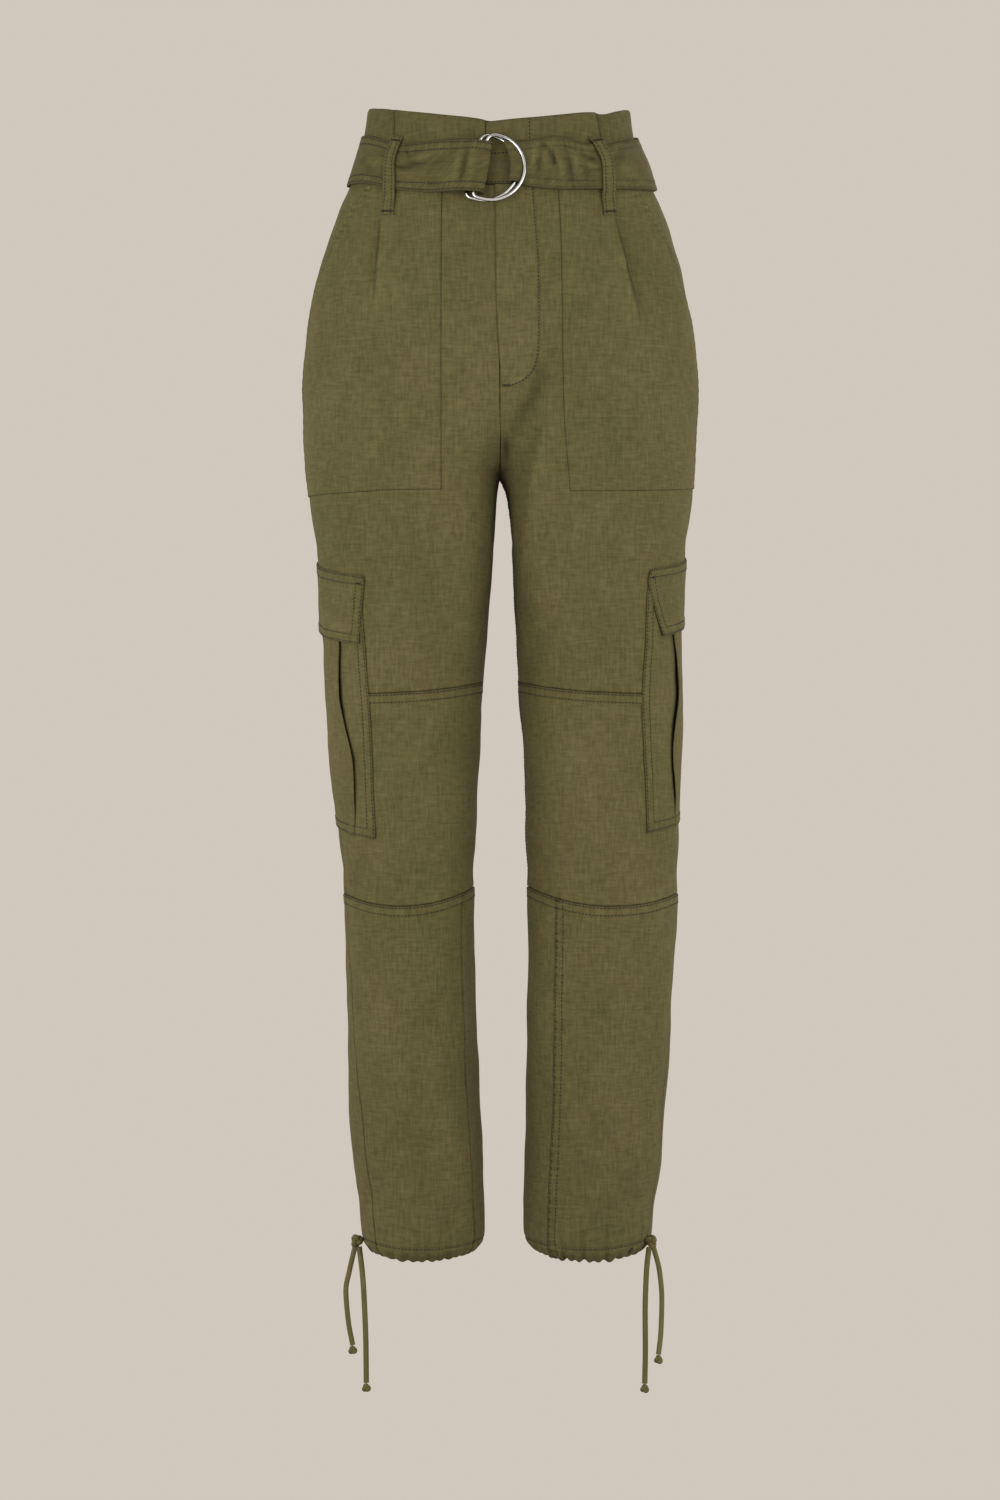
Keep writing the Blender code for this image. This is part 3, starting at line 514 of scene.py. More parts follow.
class Piece:
    """A grid of cloth on the form: rows run across it, and columns up it.

    height is what the piece adds to the form. tone lightens worn ridges and darkens seams.
    """

    def __init__(self, side, turn, z):
        self.side, self.turn, self.z = np.broadcast_arrays(np.asarray(side, float), turn, z)
        self.base = form(self.side, self.turn, self.z)
        self.normal = form_normal(self.side, self.turn, self.z)
        self.across = running(self.base, 1)
        self.along = running(self.base, 0)
        self.height = relief(self.side, self.base, self.normal)
        # Painted light on the folds' ridges, and painted shade in their troughs and along the creases.
        self.tone = 0.14 * self.height - folds(self.base, self.normal, CREASES)
        self.sag = np.zeros(self.height.shape)
        self.plumb = True  # its weave hangs straight down
        self.emboss = np.zeros(self.height.shape)
        self.lift = 0.0
        self.tongues = {}
        self.stitches = []

    def edge(self, name):
        """Distance from the seam at the first or last column, or at the low or high row."""
        away = {"first": self.across, "last": self.across[:, -1:] - self.across,
                "low": self.along, "high": self.along[-1:] - self.along}
        return away[name] - self.tongues.get(name, 0.0)

    def finish_edges(self, edges):
        for name, kind in edges.items():
            distance = self.edge(name)
            self.height += edge_height(kind, distance, self.tongues.get(name, 0.0))
            # Each seam is painted darker, as shade in its groove, and each row of stitches too.
            dark = {"fold": 0.6, "over": 0.75}.get(kind, 1.15)
            self.tone -= dark * bell(distance, 0.9)
            if kind == "over":
                self.pucker(name)
                self.tone -= 0.42 * sum(bell(distance - row, 0.8) for row in ROWS)

    def pucker(self, name, depth=0.16, reach=12.0, pitch=8.5):
        """Short ripples square to a stitched seam."""
        distance = self.edge(name)
        run = self.along if name in ("first", "last") else self.across
        wave = np.sin(2 * math.pi * run / pitch + 1.7 * np.sin(run / 23.0) + 0.9 * np.sin(run / 7.9))
        wave *= depth * bell(distance - 4.5, reach)
        self.height += wave
        # The ripples' crests are painted lighter and their troughs darker: painted light and shade.
        self.tone += 0.35 * wave

    def points(self):
        points = self.base + self.normal * self.height[..., None]
        points[..., 2] += self.sag
        if self.emboss.any():
            points = points + self.facing(points) * self.emboss[..., None]
        return points

    def facing(self, points):
        """The way the cloth's face points, which turns with every fold."""
        facing = np.cross(np.gradient(points, axis=1), np.gradient(points, axis=0))
        facing /= np.maximum(np.linalg.norm(facing, axis=-1, keepdims=True), 1e-9)
        row, column = (n // 2 for n in self.height.shape)
        return facing * np.sign(facing[row, column] @ self.normal[row, column])

    def line(self, edge, distance, trim=(0.0, 0.0)):
        """A line on the piece's face at a distance from an edge, as points and normals."""
        points, away = self.points(), self.edge(edge)
        normals = self.facing(points)
        points = points + normals * self.lift
        if edge in ("low", "high"):
            points, normals, away = points.swapaxes(0, 1), normals.swapaxes(0, 1), away.T
        rows = []
        for k in range(len(points)):
            order = np.argsort(away[k])
            rows.append([np.interp(distance, away[k][order], data[k][order, c])
                         for data in (points, normals) for c in range(3)])
        rows = np.array(rows)
        run = running(rows[:, :3], 0)
        kept = (run >= trim[0] - 0.01) & (run <= run[-1] - trim[1] + 0.01)
        return rows[kept, :3], rows[kept, 3:]

    def sew(self, edge, distance, trim=(0.0, 0.0)):
        self.stitches.append(self.line(edge, distance, trim))

    def grain(self):
        """Places along the weft and the warp, which runs straight down from where the cloth is flat."""
        middle = self.across.shape[1] // 2
        if not self.plumb:
            return self.across - self.across[:, middle, None], self.along
        past = np.abs(self.base[..., 0]) - PLUMB_X
        starts = []
        for row, run in zip(past, self.across):
            crossings = np.flatnonzero(row[:-1] * row[1:] <= 0)
            if not len(crossings):
                return self.across - self.across[:, middle, None], self.base[..., 2]
            k = crossings[0]
            starts.append(run[k] + (run[k + 1] - run[k]) * row[k] / (row[k] - row[k + 1] or 1))
        return self.across - np.array(starts)[:, None], self.base[..., 2]

    def area(self):
        """Area of the face, in square metres."""
        points = self.points() * MM
        one, two = np.diff(points, axis=0)[:, :-1], np.diff(points, axis=1)[:-1]
        return float(np.linalg.norm(np.cross(one, two), axis=-1).sum())


def row_levels(side, first, last, bottom, top, step, by_bottom, by_top):
    """Heights for a panel's rows, closer together where an edge runs far for its height."""
    z = np.linspace(bottom, top, 3001)
    runs = [np.linalg.norm(np.diff(form(side, rule(z), z), axis=0), axis=1) for rule in (first, last)]
    run = np.r_[0, np.cumsum(np.maximum(0.6 * np.maximum(*runs), np.minimum(*runs)))]
    low, high = bottom + np.array(by_bottom), top - np.array(by_top)[::-1]
    ends = np.interp((low[-1], high[0]), z, run)
    between = np.linspace(*ends, int((ends[1] - ends[0]) / step) + 2)[1:-1]
    return np.concatenate([low, np.interp(between, run, z), high])


def nudged(side, turn, z, distance):
    """An angle moved by a distance along the cloth."""
    small = 2 * SMALL_TURN
    step = form(side, turn + small, z) - form(side, turn - small, z)
    return turn + 2 * small * distance / np.linalg.norm(step, axis=-1)


def lapped(side, seam, way, length):
    """A seam moved outwards by a tongue, whose length may differ down the seam."""
    return lambda z: nudged(side, seam(z), z, way * length(z))


def shifted(seam, rise):
    """A seam that runs round the leg, moved up or down."""
    return lambda turn: seam(turn) + rise


def whole_tongue(z):
    return np.full_like(z, TONGUE)


def above_crotch(z):
    return TONGUE * clamp((z - CROTCH + 2) / 3)


def below_crotch(z):
    return TONGUE * clamp((CROTCH + 3 - z) / 3)


def mid_leg(first, last):
    """Two seams' angles half way down."""
    return [seam(np.array([MID_LEG]))[0] for seam in (first, last)]


def panel(side, first, last, low, high, edges, step=3.4, levels=None, tongues=()):
    """A piece between two seams that run down the leg and two that run round it.

    A seam named as under reaches beneath its neighbour; tongues gives how far, where that changes.
    """
    tongues = {name: whole_tongue for name, kind in edges.items() if kind == "under"} | dict(tongues)
    start, end = mid_leg(first, last)
    way = 1 if end > start else -1
    if "first" in tongues:
        first = lapped(side, first, -way, tongues["first"])
    if "last" in tongues:
        last = lapped(side, last, way, tongues["last"])
    low, high = (shifted(seam, sign * TONGUE * (name in tongues))
                 for name, seam, sign in (("low", low, -1), ("high", high, 1)))
    middle = np.array([sum(mid_leg(first, last)) / 2])
    bottom, top = float(low(middle)[0]), float(high(middle)[0])
    near = {name: EDGE_LINES[kind] for name, kind in edges.items()}
    if levels is None:
        levels = row_levels(side, first, last, bottom, top, step, near["low"], near["high"])
    shares = np.linspace(0, 1, 241)
    turns = first(levels)[:, None] + (last(levels) - first(levels))[:, None] * shares
    lengths = running(form(side, turns, levels[:, None]), 1)
    count = int(lengths[:, -1].max() / step)
    wanted = spaced(lengths[:, -1], count, near["first"], near["last"])
    share = np.array([np.interp(w, run, shares) for w, run in zip(wanted, lengths)])
    z = np.broadcast_to(levels[:, None], share.shape)
    for _ in range(2):
        turn = first(z) + (last(z) - first(z)) * share
        stretch = (high(turn) - low(turn)) / (top - bottom)
        z = low(turn) + (levels[:, None] - bottom) * stretch
    piece = Piece(side, first(z) + (last(z) - first(z)) * share, z)
    edge_z = {"first": z[:, :1], "last": z[:, -1:], "low": z[:1], "high": z[-1:]}
    piece.tongues = {name: length(edge_z[name]) for name, length in tongues.items()}
    return piece


# ---------------------------------------------------------------- making objects


def mesh_from(bm, name, material=None):
    """A mesh with one finish, made from a bmesh that is then let go."""
    mesh = bpy.data.meshes.new(name)
    bm.to_mesh(mesh)
    bm.free()
    if material:
        mesh.materials.append(bpy.data.materials[material])
    return mesh


def link(obj, *nodes, slot="cloth"):
    """Puts a finished piece in the scene in place of its solids."""
    bpy.context.scene.collection.objects.link(obj)
    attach(obj, "root")
    if nodes:
        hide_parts(*nodes)
    return obj


def cloth_object(name, piece, wall, inwards=-1.0):
    """Turns a piece into a thin shell with its cut size, its own UV map and its tone."""
    points, grain = piece.points() * MM, np.stack(piece.grain(), axis=-1) * MM
    rows, columns = piece.height.shape
    bm = bmesh.new()
    bmesh.ops.create_grid(bm, x_segments=columns - 1, y_segments=rows - 1, size=0.5)
    flat = np.array([vert.co[:2] for vert in bm.verts]) + 0.5
    column = np.rint(flat[:, 0] * (columns - 1)).astype(int)
    row = np.rint(flat[:, 1] * (rows - 1)).astype(int)
    mesh = mesh_from(bm, name, "olive cloth")
    mesh.vertices.foreach_set("co", points[row, column].astype(np.float32).ravel())
    corners = np.empty(len(mesh.loops), np.int32)
    mesh.loops.foreach_get("vertex_index", corners)
    uv = grain[row, column][corners].astype(np.float32)
    mesh.uv_layers.new(name="cloth").uv.foreach_set("vector", uv.ravel())
    tone = mesh.attributes.new("tone", "FLOAT", "POINT")
    tone.data.foreach_set("value", piece.tone[row, column].astype(np.float32))
    mesh.update()
    middle = mesh.polygons[len(mesh.polygons) // 2]
    outward = Vector(piece.normal[row, column][middle.vertices[0]])
    if middle.normal.dot(outward) < 0:
        mesh.flip_normals()
    mesh.shade_smooth()
    obj = link(bpy.data.objects.new(name + "_cloth", mesh), name)
    ply = obj.modifiers.new("Ply", "SOLIDIFY")
    ply.thickness = wall * MM
    ply.offset = inwards
    width, length = float(piece.across.max()) * MM, float(piece.along.max()) * MM
    area = min(piece.area(), width * length)
    SEWN.setdefault(name.split("_")[0], []).extend(piece.stitches)
    return obj


SEWN = {}  # rows of stitching by piece, as lines of points and normals
TACKS = []  # short bars of close stitches
# A stitch's length, width and height, in a seam, a bar tack and the binding of a hole.
STITCH = (2.5, 1.3, 1.0)
TACK_STITCH = (0.85, 2.6, 0.9)
HOLE_STITCH = (0.8, 2.0, 0.9)


def resampled(points, normals, pitch):
    """Even places along a line, with the direction of the line and of the cloth's face there."""
    run = running(points, 0)
    count = max(int(run[-1] / pitch), 1)
    places = (np.arange(count) + 0.5) * run[-1] / count

    def at(data, ahead=0.0):
        return np.stack([np.interp(places + ahead, run, data[:, k]) for k in range(3)], axis=-1)

    return at(points), at(points, 0.6) - at(points, -0.6), at(normals)


def stitching_object(name, lines, pitch, size=STITCH):
    """Rows of stitches: each a small lens of thread lying along its row."""
    bm = bmesh.new()
    scale = Matrix.Diagonal((*(s * MM for s in size), 1))
    for points, normals in lines:
        for place, way, up in zip(*resampled(points, normals, pitch)):
            along, out = Vector(way).normalized(), Vector(up).normalized()
            across = out.cross(along).normalized()
            turn = Matrix((along, across, along.cross(across))).transposed().to_4x4()
            here = Matrix.Translation(Vector(place) * MM) @ turn @ scale
            bmesh.ops.create_icosphere(bm, subdivisions=1, radius=0.5, matrix=here)
    mesh = mesh_from(bm, name, "sewing thread")
    mesh.shade_smooth()
    return link(bpy.data.objects.new(name, mesh))


# ---------------------------------------------------------------- the pieces


def sewn_edges(piece, edges):
    """Shapes a piece's edges and puts a double row of stitching on each folded one."""
    piece.finish_edges(edges)
    for name, kind in edges.items():
        if kind == "over":
            ends = ("first", "last") if name in ("low", "high") else ("low", "high")
            inner = [ROWS[1] if edges.get(end) == "over" else 0.0 for end in ends]
            piece.sew(name, ROWS[0])
            piece.sew(name, ROWS[1], inner)


def sewn_panel(side, first, last, low, high, edges, **more):
    """A panel with its edges shaped and stitched."""
    piece = panel(side, first, last, low, high, edges, **more)
    sewn_edges(piece, edges)
    return piece


def legs(thickness):
    waist = level(WAIST_SEAM)
    for word, side in SIDES.items():
        left = side > 0
        piece = sewn_panel(side, outseam(side), inside(side), upper_knee_seam, waist,
                           {"first": "plain", "last": "under", "low": "under", "high": "under"},
                           step=3.1, tongues={"last": below_crotch} if left else {})
        # The centre seam all but disappears below the fly: its line is painted lighter there, taking back
        # the painted shade along it and some of the shade of its gap.
        distance = piece.edge("last")
        lost = clamp((-226 - piece.z) / 20)
        faint = bell(distance, 0.9) * clamp((piece.z - CROTCH - 2) / 25)
        piece.tone += (0.85 + 0.75 * lost) * faint
        piece.height += (0.3 + 0.15 * lost) * faint * (distance > 0)
        if not left:
            narrowed = fall(distance - 0.60, 0.18) - fall(distance + 0.35, 0.10)
            piece.height += UNDER_DEPTH * lost * (piece.z > CROTCH + 8) * narrowed
        cloth_object(f"front_{word}", piece, thickness)

        piece = sewn_panel(side, outseam(side), level(math.pi), lower_knee_seam, upper_knee_seam,
                           {"first": "plain", "last": "under", "low": "under", "high": "over"})
        cloth_object(f"knee_{word}", piece, thickness)

        piece = sewn_panel(side, outseam(side), inside(side, -1), lower_knee_seam, waist,
                           {"first": "under", "last": "over" if left else "under",
                            "low": "under", "high": "under"},
                           step=4.3, tongues={} if left else {"last": above_crotch})
        cloth_object(f"back_{word}", piece, thickness)


HEM_RUNS = {}


def hem_run(side, turn):
    """Distance round the hem at each angle, from the outside of the leg."""
    if side not in HEM_RUNS:
        turns = np.linspace(-2 * math.pi, 2 * math.pi, 1441)
        run = running(form(side, turns, np.full(len(turns), HEM + 14)), 0)
        HEM_RUNS[side] = (turns, run - run[len(turns) // 2])
    return np.interp(turn, *HEM_RUNS[side])


def hemmed(side, first, last, edges, step=3.0):
    """A lower-leg panel that is turned up at the hem to hold the drawcord."""
    middle = np.array([sum(mid_leg(first, last)) / 2])
    top = float(lower_knee_seam(middle)[0])
    low, close = HEM + HEM_BEND, HEM + CASING + 2
    levels = row_levels(side, first, last, low, top, step, (0,), EDGE_LINES[edges["high"]])
    levels = levels[(levels > close) | (levels < low + 0.1)]
    levels = np.unique(np.round(np.r_[np.arange(low + 1.2, close, 1.3), levels], 3))
    piece = panel(side, first, last, level(low), lower_knee_seam, dict(edges, low="plain"), step, levels)
    # The ply turned up inside, from its top down and round the fold: height and how far in.
    fold = [(HEM + z, -2 * HEM_BEND) for z in (14, 11, 8, 5)]
    for degrees in range(-180, 0, 30):
        turn = math.radians(degrees)
        fold.append((HEM + HEM_BEND * (1 + math.sin(turn)), HEM_BEND * (math.cos(turn) - 1)))
    z, inwards = (np.array(values)[:, None] for values in zip(*fold))
    z = z + 0 * piece.turn[:1]
    turn = np.broadcast_to(piece.turn[:1], z.shape)
    whole = Piece(side, np.concatenate([turn, piece.turn]), np.concatenate([z, piece.z]))
    whole.height[: len(fold)] += inwards
    whole.tongues = {name: TONGUE for name in piece.tongues}
    whole.finish_edges(edges)
    # The gathers: waves that are strongest in the casing and run out above it.
    run, rise = hem_run(side, whole.turn), whole.z - HEM
    wave = 0.75 * np.sin(2 * math.pi * (run + 2.6 * np.sin(run / 19.0)) / 11.0)
    wave += 0.4 * np.sin(2 * math.pi * (run + 3 * np.sin(run / 31.0)) / 17.5 + 1.0)
    wave *= (0.4 + 0.6 * np.sin(whole.turn) ** 2) * (1.0 if side > 0 else 0.65)
    casing = fall(rise - CASING - 0.5, 1.2)
    above = bell(rise - 13, 17) * (1 - casing)
    groove = bell(rise - CASING_ROW, 1.3)
    whole.height += (0.95 * bell(rise - 6.5, 6.0) + 0.25 * casing + 0.55 * above) * wave - 0.85 * groove
    whole.height += 0.45 * casing * (rise > 2)
    ahead = clamp(np.sin(whole.turn)) ** 2
    fade = clamp(1 - rise / 75)
    whole.sag = (2.5 - 7.5 * ahead) * fade**2 * (3 - 2 * fade) - 1.15 * wave * clamp(1 - rise / 9)
    # The casing's row is painted darker, and the gathers' crests lighter: painted light and shade.
    whole.tone = whole.tone - 0.55 * groove + 0.25 * wave * (casing + above)
    # Darker towards the hem: painted shade.
    whole.tone -= 0.14 * clamp((-780 - whole.z) / 90)
    sewn = len(fold) + int(np.argmin(np.abs(piece.z[:, 0] - HEM - CASING_ROW)))
    whole.stitches.append((whole.points()[sewn], whole.normal[sewn]))
    return whole


def lower_legs(thickness):
    for word, side in SIDES.items():
        inner = INNER_SEAM[side]
        lap = "over" if side > 0 else "plain"
        for name, whole_turn, first, last, step in (("shin", 0, "plain", lap, 3.0),
                                                    ("calf", -360, "under", "under", 4.0)):
            seams = {"first": first, "last": last, "high": "over"}
            piece = hemmed(side, outseam(side), lambda z, add=whole_turn: np.radians(inner(z) + add),
                           seams, step)
            for edge, kind in seams.items():
                for row in ROWS if kind == "over" else ():
                    piece.sew(edge, row)
            if name == "shin" and side > 0:
                piece.pucker("last", depth=0.5, reach=9.0, pitch=7.0)
            cloth_object(f"{name}_{word}", piece, thickness)


BAND_RISE = 1.1  # how far the band stands off the form
BAND_SHADE = 0.38
TUCK = {1: 43.5, -1: 39.5}  # degrees round from the outside to the waistband's tuck
# The waistband's top edge, from the front opening to the sides: a shallow V with a step at each tuck.
TOP_LINE = (
    # x, height of the edge
    (-119, 50.2),
    (-115, 49.6),
    (-108, 48.0),
    (-97, 45.2),
    (-92, 43.9),
    (-54, 37.8),
    (-27, 34.0),
    (-18, 32.7),
    (-8.5, 30.6),
    (0, 31.4),
    (10, 32.5),
    (27, 34.2),
    (57, 38.0),
    (84, 40.8),
    (89, 40.2),
    (106, 45.6),
    (113, 48.4),
    (119, 49.8),
)


def drawn_down(piece, drop):
    """The band's rows follow an edge that lies lower than the form's top."""
    return drop * clamp(piece.z / TOP_EDGE) ** 1.3


def waistband(thickness):
    bottom, top = level(WAIST_SEAM), level(TOP_EDGE)
    edge_z = column(TOP_LINE, 1)
    for word, side in SIDES.items():
        seams = {"first": "plain", "last": "fold" if side > 0 else "under", "low": "lap", "high": "fold"}
        piece = panel(side, level(0.0), lambda z, side=side: centre_turn(side, z, BAND_LAP_X),
                      bottom, top, seams, step=1.5)
        piece.finish_edges(seams)
        # The tuck: a step in the cloth with a crease beside it; its fold line and a wedge beside it are
        # painted shade.
        lean = (piece.z - 42) * 0.0012 * side
        past = (piece.turn - math.radians(TUCK[side]) - lean) * 120
        outside, beyond = np.clip(past, None, 0), np.clip(past, 0, None)
        high = clamp((piece.z - 16) / 20)
        step = fall(-past, 0.5)
        crease = bell(past + 14 - (piece.z - 30) * 0.9 * side, 4)
        hollow = 0.7 * np.exp(outside / 10) + 0.9 * crease
        piece.height += BAND_RISE + high * (1.5 * step * np.exp(-beyond / 30) - hollow * (1 - step))
        shade = (0.5 if side < 0 else 0.9) * (1 - step) * np.exp(outside / 5)
        piece.tone -= high * (2.2 * bell(past, 1.5) + shade) + BAND_SHADE
        ripple = np.sin(piece.across / 9.5 + 1.4 * np.sin(piece.across / 31 + side)) * 0.35
        piece.height += ripple * np.clip((piece.z - 15) / 30, 0.2, 1)
        piece.sag = drawn_down(piece, edge_z(piece.base[-1:, :, 0]) - piece.base[-1:, :, 2])
        piece.sew("low", LAP_ROW)
        piece.sew("low", 27.5)
        if side > 0:
            piece.sew("last", 38.5)
        cloth_object(f"waistband_{word}", piece, thickness + 0.4)

    levels = row_levels(1, level(0.0), level(-1.5), WAIST_SEAM, TOP_EDGE, 2.8, LAP_LINES, PLAIN_LINES)
    around = np.linspace(0.024, -math.pi - 0.024, 150)
    on_left = around > -math.pi / 2
    turns = np.where(on_left, around, -math.pi - around)
    piece = Piece(np.where(on_left, 1.0, -1.0), np.broadcast_to(turns, (len(levels), len(turns))),
                  levels[:, None])
    piece.tongues = {"first": TONGUE, "last": TONGUE}
    piece.finish_edges({"first": "under", "last": "under", "low": "lap", "high": "fold"})
    ripple = np.sin(piece.across / 11 + 1.7 * np.sin(piece.across / 43)) * 0.7
    piece.height += BAND_RISE + ripple * np.clip((piece.z - 10) / 30, 0.2, 1)
    piece.tone -= BAND_SHADE
    piece.sag = drawn_down(piece, np.where(piece.side > 0, -4.6, -3.4) * np.cos(piece.turn) ** 6)
    piece.sew("low", LAP_ROW)
    cloth_object("waistband_back", piece, thickness + 0.4)


def front_turn(z, x):
    """Side and angle where the front meets the plane at x."""
    side = np.where(x >= 0, 1.0, -1.0)
    return side, centre_turn(side, z, x)


def fly():
    z = row_levels(1, level(1.4), inside(1), FLY_BOTTOM, WAIST_SEAM - SEAM, 2.4,
                   PLAIN_LINES, PLAIN_LINES)
    reach, opening = FLY_REACH(z), column(FLY_OPENING, 1)(z)
    x = reach[:, None] + (opening - reach)[:, None] * np.linspace(0, 1, 24)
    side, turn = front_turn(np.broadcast_to(z[:, None], x.shape), x)
    piece = Piece(side, turn, z[:, None])
    curve, folded = piece.edge("first"), piece.edge("last")
    slub = 0.16 * np.sin(x / 2.1 + 1.1 * np.sin(piece.z / 23)) * clamp(curve / 6)
    piece.height += 0.55 + 0.35 * bell(folded, 6) - 0.30 * (bell(curve, 1.2) + bell(folded, 0.6)) + slub
    # Painted shade along the J's curve and under the folded edge; the strip is a little lighter overall.
    piece.tone += 0.16 - 0.35 * bell(curve, 0.8) - 1.3 * bell(folded, 0.9) - 0.5 * bell(curve - 1.5, 0.8)
    piece.sew("first", 1.5)
    low = int(np.argmin(np.abs(z - FLY_BOTTOM - 1.6)))
    inner = (x[low] > 2) & (x[low] < 10)
    TACKS.append((piece.points()[low][inner], piece.normal[low][inner]))
    cloth_object("fly", piece, 0.5)


def pocket_mouth(side):
    return lambda z: outseam(side)(z) + np.radians(MOUTH(z))


def pocket_edge(side):
    def turn(z):
        high = np.maximum(z, PATCH_BOTTOM)
        return centre_turn(side, high, side * POCKET_EDGE[side](high))

    return turn


def pocket_bottom(side):
    if side > 0:
        return lambda turn: PATCH_BOTTOM + 7.6 * (1 - np.sin(np.clip(turn, 0, math.pi / 2)))
    return lambda turn: PATCH_BOTTOM - 1.2 + 2.6 * clamp((turn - 0.9) / 0.7) ** 1.5


def patch_pockets():
    for word, side in SIDES.items():
        piece = sewn_panel(side, pocket_mouth(side), pocket_edge(side), pocket_bottom(side),
                           level(WAIST_SEAM - SEAM),
                           {"first": "over", "last": "fold", "low": "fold", "high": "plain"}, step=2.6)
        # Short puckers square to the slanted opening, which fade out down the side.
        run = piece.along
        wave = np.sin(2 * math.pi * run / 6.8 + 1.9 * np.sin(run / 17) + 0.6 * np.sin(piece.across / 2))
        wave *= bell(piece.edge("first") - 5, 5.5) * clamp((piece.z + 100) / 40)
        piece.height += 0.72 + 0.85 * wave
        # The puckers' crests are painted lighter and their troughs darker, and the folded edges painted
        # dark: painted light and shade.
        piece.tone += 0.8 * wave
        for edge in ("last", "low"):
            piece.tone -= 1.5 * bell(piece.edge(edge), 0.45)
        cloth_object(f"patch_pocket_{word}", piece, 0.55)


# The box pleat across a cargo pocket, from its middle to its edge.
PLEAT = (
    # along the cloth, off the leg, share of the fold line's sway
    (0, 4.6, 0),
    (15, 4.7, 0.3),
    (30, 4.6, 0.7),
    (41, 4.3, 1),
    (44.6, 3.3, 1),
    (42, 2.3, 1),
    (33, 2.2, 1),
    (31.2, 1.6, 1),
    (33, 1.0, 1),
    (41, 0.85, 0.9),
    (50, 0.9, 0.75),
    (61, 0.85, 0.5),
    (72, 0.8, 0.25),
    (84, 0.8, 0),
)
PLEAT_SWAY = (
    # z, how far the front fold line moves from its place in the table above: left, right
    (-600, -6, 15),
    (-576, -6, 17),
    (-563, -2, 18),
    (-533, 1, 18.5),
    (-505, -5, 11),
    (-490, -12, 6.5),
    (-474, -15.5, 4),
    (-449, -12, 5),
    (-425, -4, 7),
    (-381, -3, 7),
)
CARGO_TOP, CARGO_BOTTOM = -381.0, -600.0
FLAP_TOP, FLAP_HEIGHT = -364.0, 62.0
CARGO_LIFT = {1: 5.5, -1: 0.0}  # the left pocket sits this much higher
CARGO_DROP = 0.13  # how far the pocket's front corners hang lower, per mm of width
CARGO_CENTRE = {1: (-4.5, 19), -1: (3, 25.5)}  # round from the outside, at the bottom and the top
FLAP_LEVELS = (0, 0.35, 0.70, 0.87, 1)  # shares of the flap's height, from its foot
FLAP_HALF = {1: (63.5, 73, 82, 84.5, 83), -1: (79, 82, 86.5, 89, 90)}  # at each of those levels
FLAP_CREST = {1: 56, -1: 64}  # where the flap comes down from the pleat to the pocket


def arc_turn(side, levels, distance):
    """The angle at a distance round the cloth from the outside, at each level."""
    turns = np.linspace(-math.pi, math.pi, 361)
    found = np.empty(distance.shape)
    for k, z in enumerate(levels):
        run = running(form(side, turns, np.full(len(turns), z)), 0)
        found[k] = np.interp(distance[k] + run[len(turns) // 2], run, turns)
    return found


def cargo_centre(side, levels):
    """Where a cargo pocket's middle lies at each height, round from the outside."""
    return np.interp(levels, (CARGO_BOTTOM, FLAP_TOP), CARGO_CENTRE[side])[:, None]


def cargo_piece(side, levels, spread):
    """Cloth at distances from the pocket's middle; its front corners hang lower."""
    turn = arc_turn(side, levels, cargo_centre(side, levels) + spread)
    return Piece(side, turn, levels[:, None] + CARGO_LIFT[side] - CARGO_DROP * spread)


def cargo_pocket(word, side):
    across = [(-s, h, 0) for s, h, _ in reversed(PLEAT[1:])] + list(PLEAT)
    run = np.r_[0, np.cumsum([math.dist(a[:2], b[:2]) for a, b in zip(across, across[1:])])]
    lines = spaced(run[-1], 110, STITCHED_LINES, STITCHED_LINES)
    along, height, swayed = (through(run, [p[k] for p in across])(lines) for k in range(3))
    levels = CARGO_BOTTOM + spaced(CARGO_TOP - CARGO_BOTTOM, 76, STITCHED_LINES, PLAIN_LINES)
    down = (levels - CARGO_BOTTOM)[:, None]
    # The pleat's upper ply waves along its fold line, held flat by the seams at both ends.
    wave = np.sin(down / 17 + side) + 0.6 * np.sin(down / 8.3 + 2 * side + np.sign(along))
    held = clamp((down - 17) / 10)
    lap = bell(np.abs(along) - 43.5, 5) * (height > 1.9) * held
    sways = column(PLEAT_SWAY, 1 if side > 0 else 2)
    bow = bell(levels + 484, 42)[:, None] * (side > 0) * 3.4
    spread = along + sways(levels)[:, None] * swayed + np.sign(along) * 0.7 * wave * lap
    spread = spread + bow * clamp((along - 55) / 25)
    hold = through((0, 17, 40, 75), (0.05, 0.3, 0.75, 1))(down)
    pressed = through((-475, -430, -400, -381), (1, 0.62, 0.45, 0.3))(levels)[:, None]
    piece = cargo_piece(side, levels, spread)
    piece.height += 0.8 + (height + (0.5 * wave + 0.55) * lap - 0.8) * pressed * hold
    sewn_edges(piece, {"first": "over", "last": "over", "low": "over"})
    piece.height += clamp((height - 3.6) / 0.6) * 0.5 * np.sin(down / 31 + along / 19) * held
    # Painted shadow in the pleat's slit, and painted shade on the under ply beside the fold.
    behind = (height < 3.0) * clamp((46 - np.abs(along)) / 2)
    shaded = (height < 1.4) * bell(np.clip(np.abs(along) - 45, 0, None), 3.5)
    piece.tone -= (1.3 * behind + 0.5 * shaded * (1 - behind)) * held
    piece.sew("high", 22.0)
    cloth_object(f"cargo_pocket_{word}", piece, 0.5)


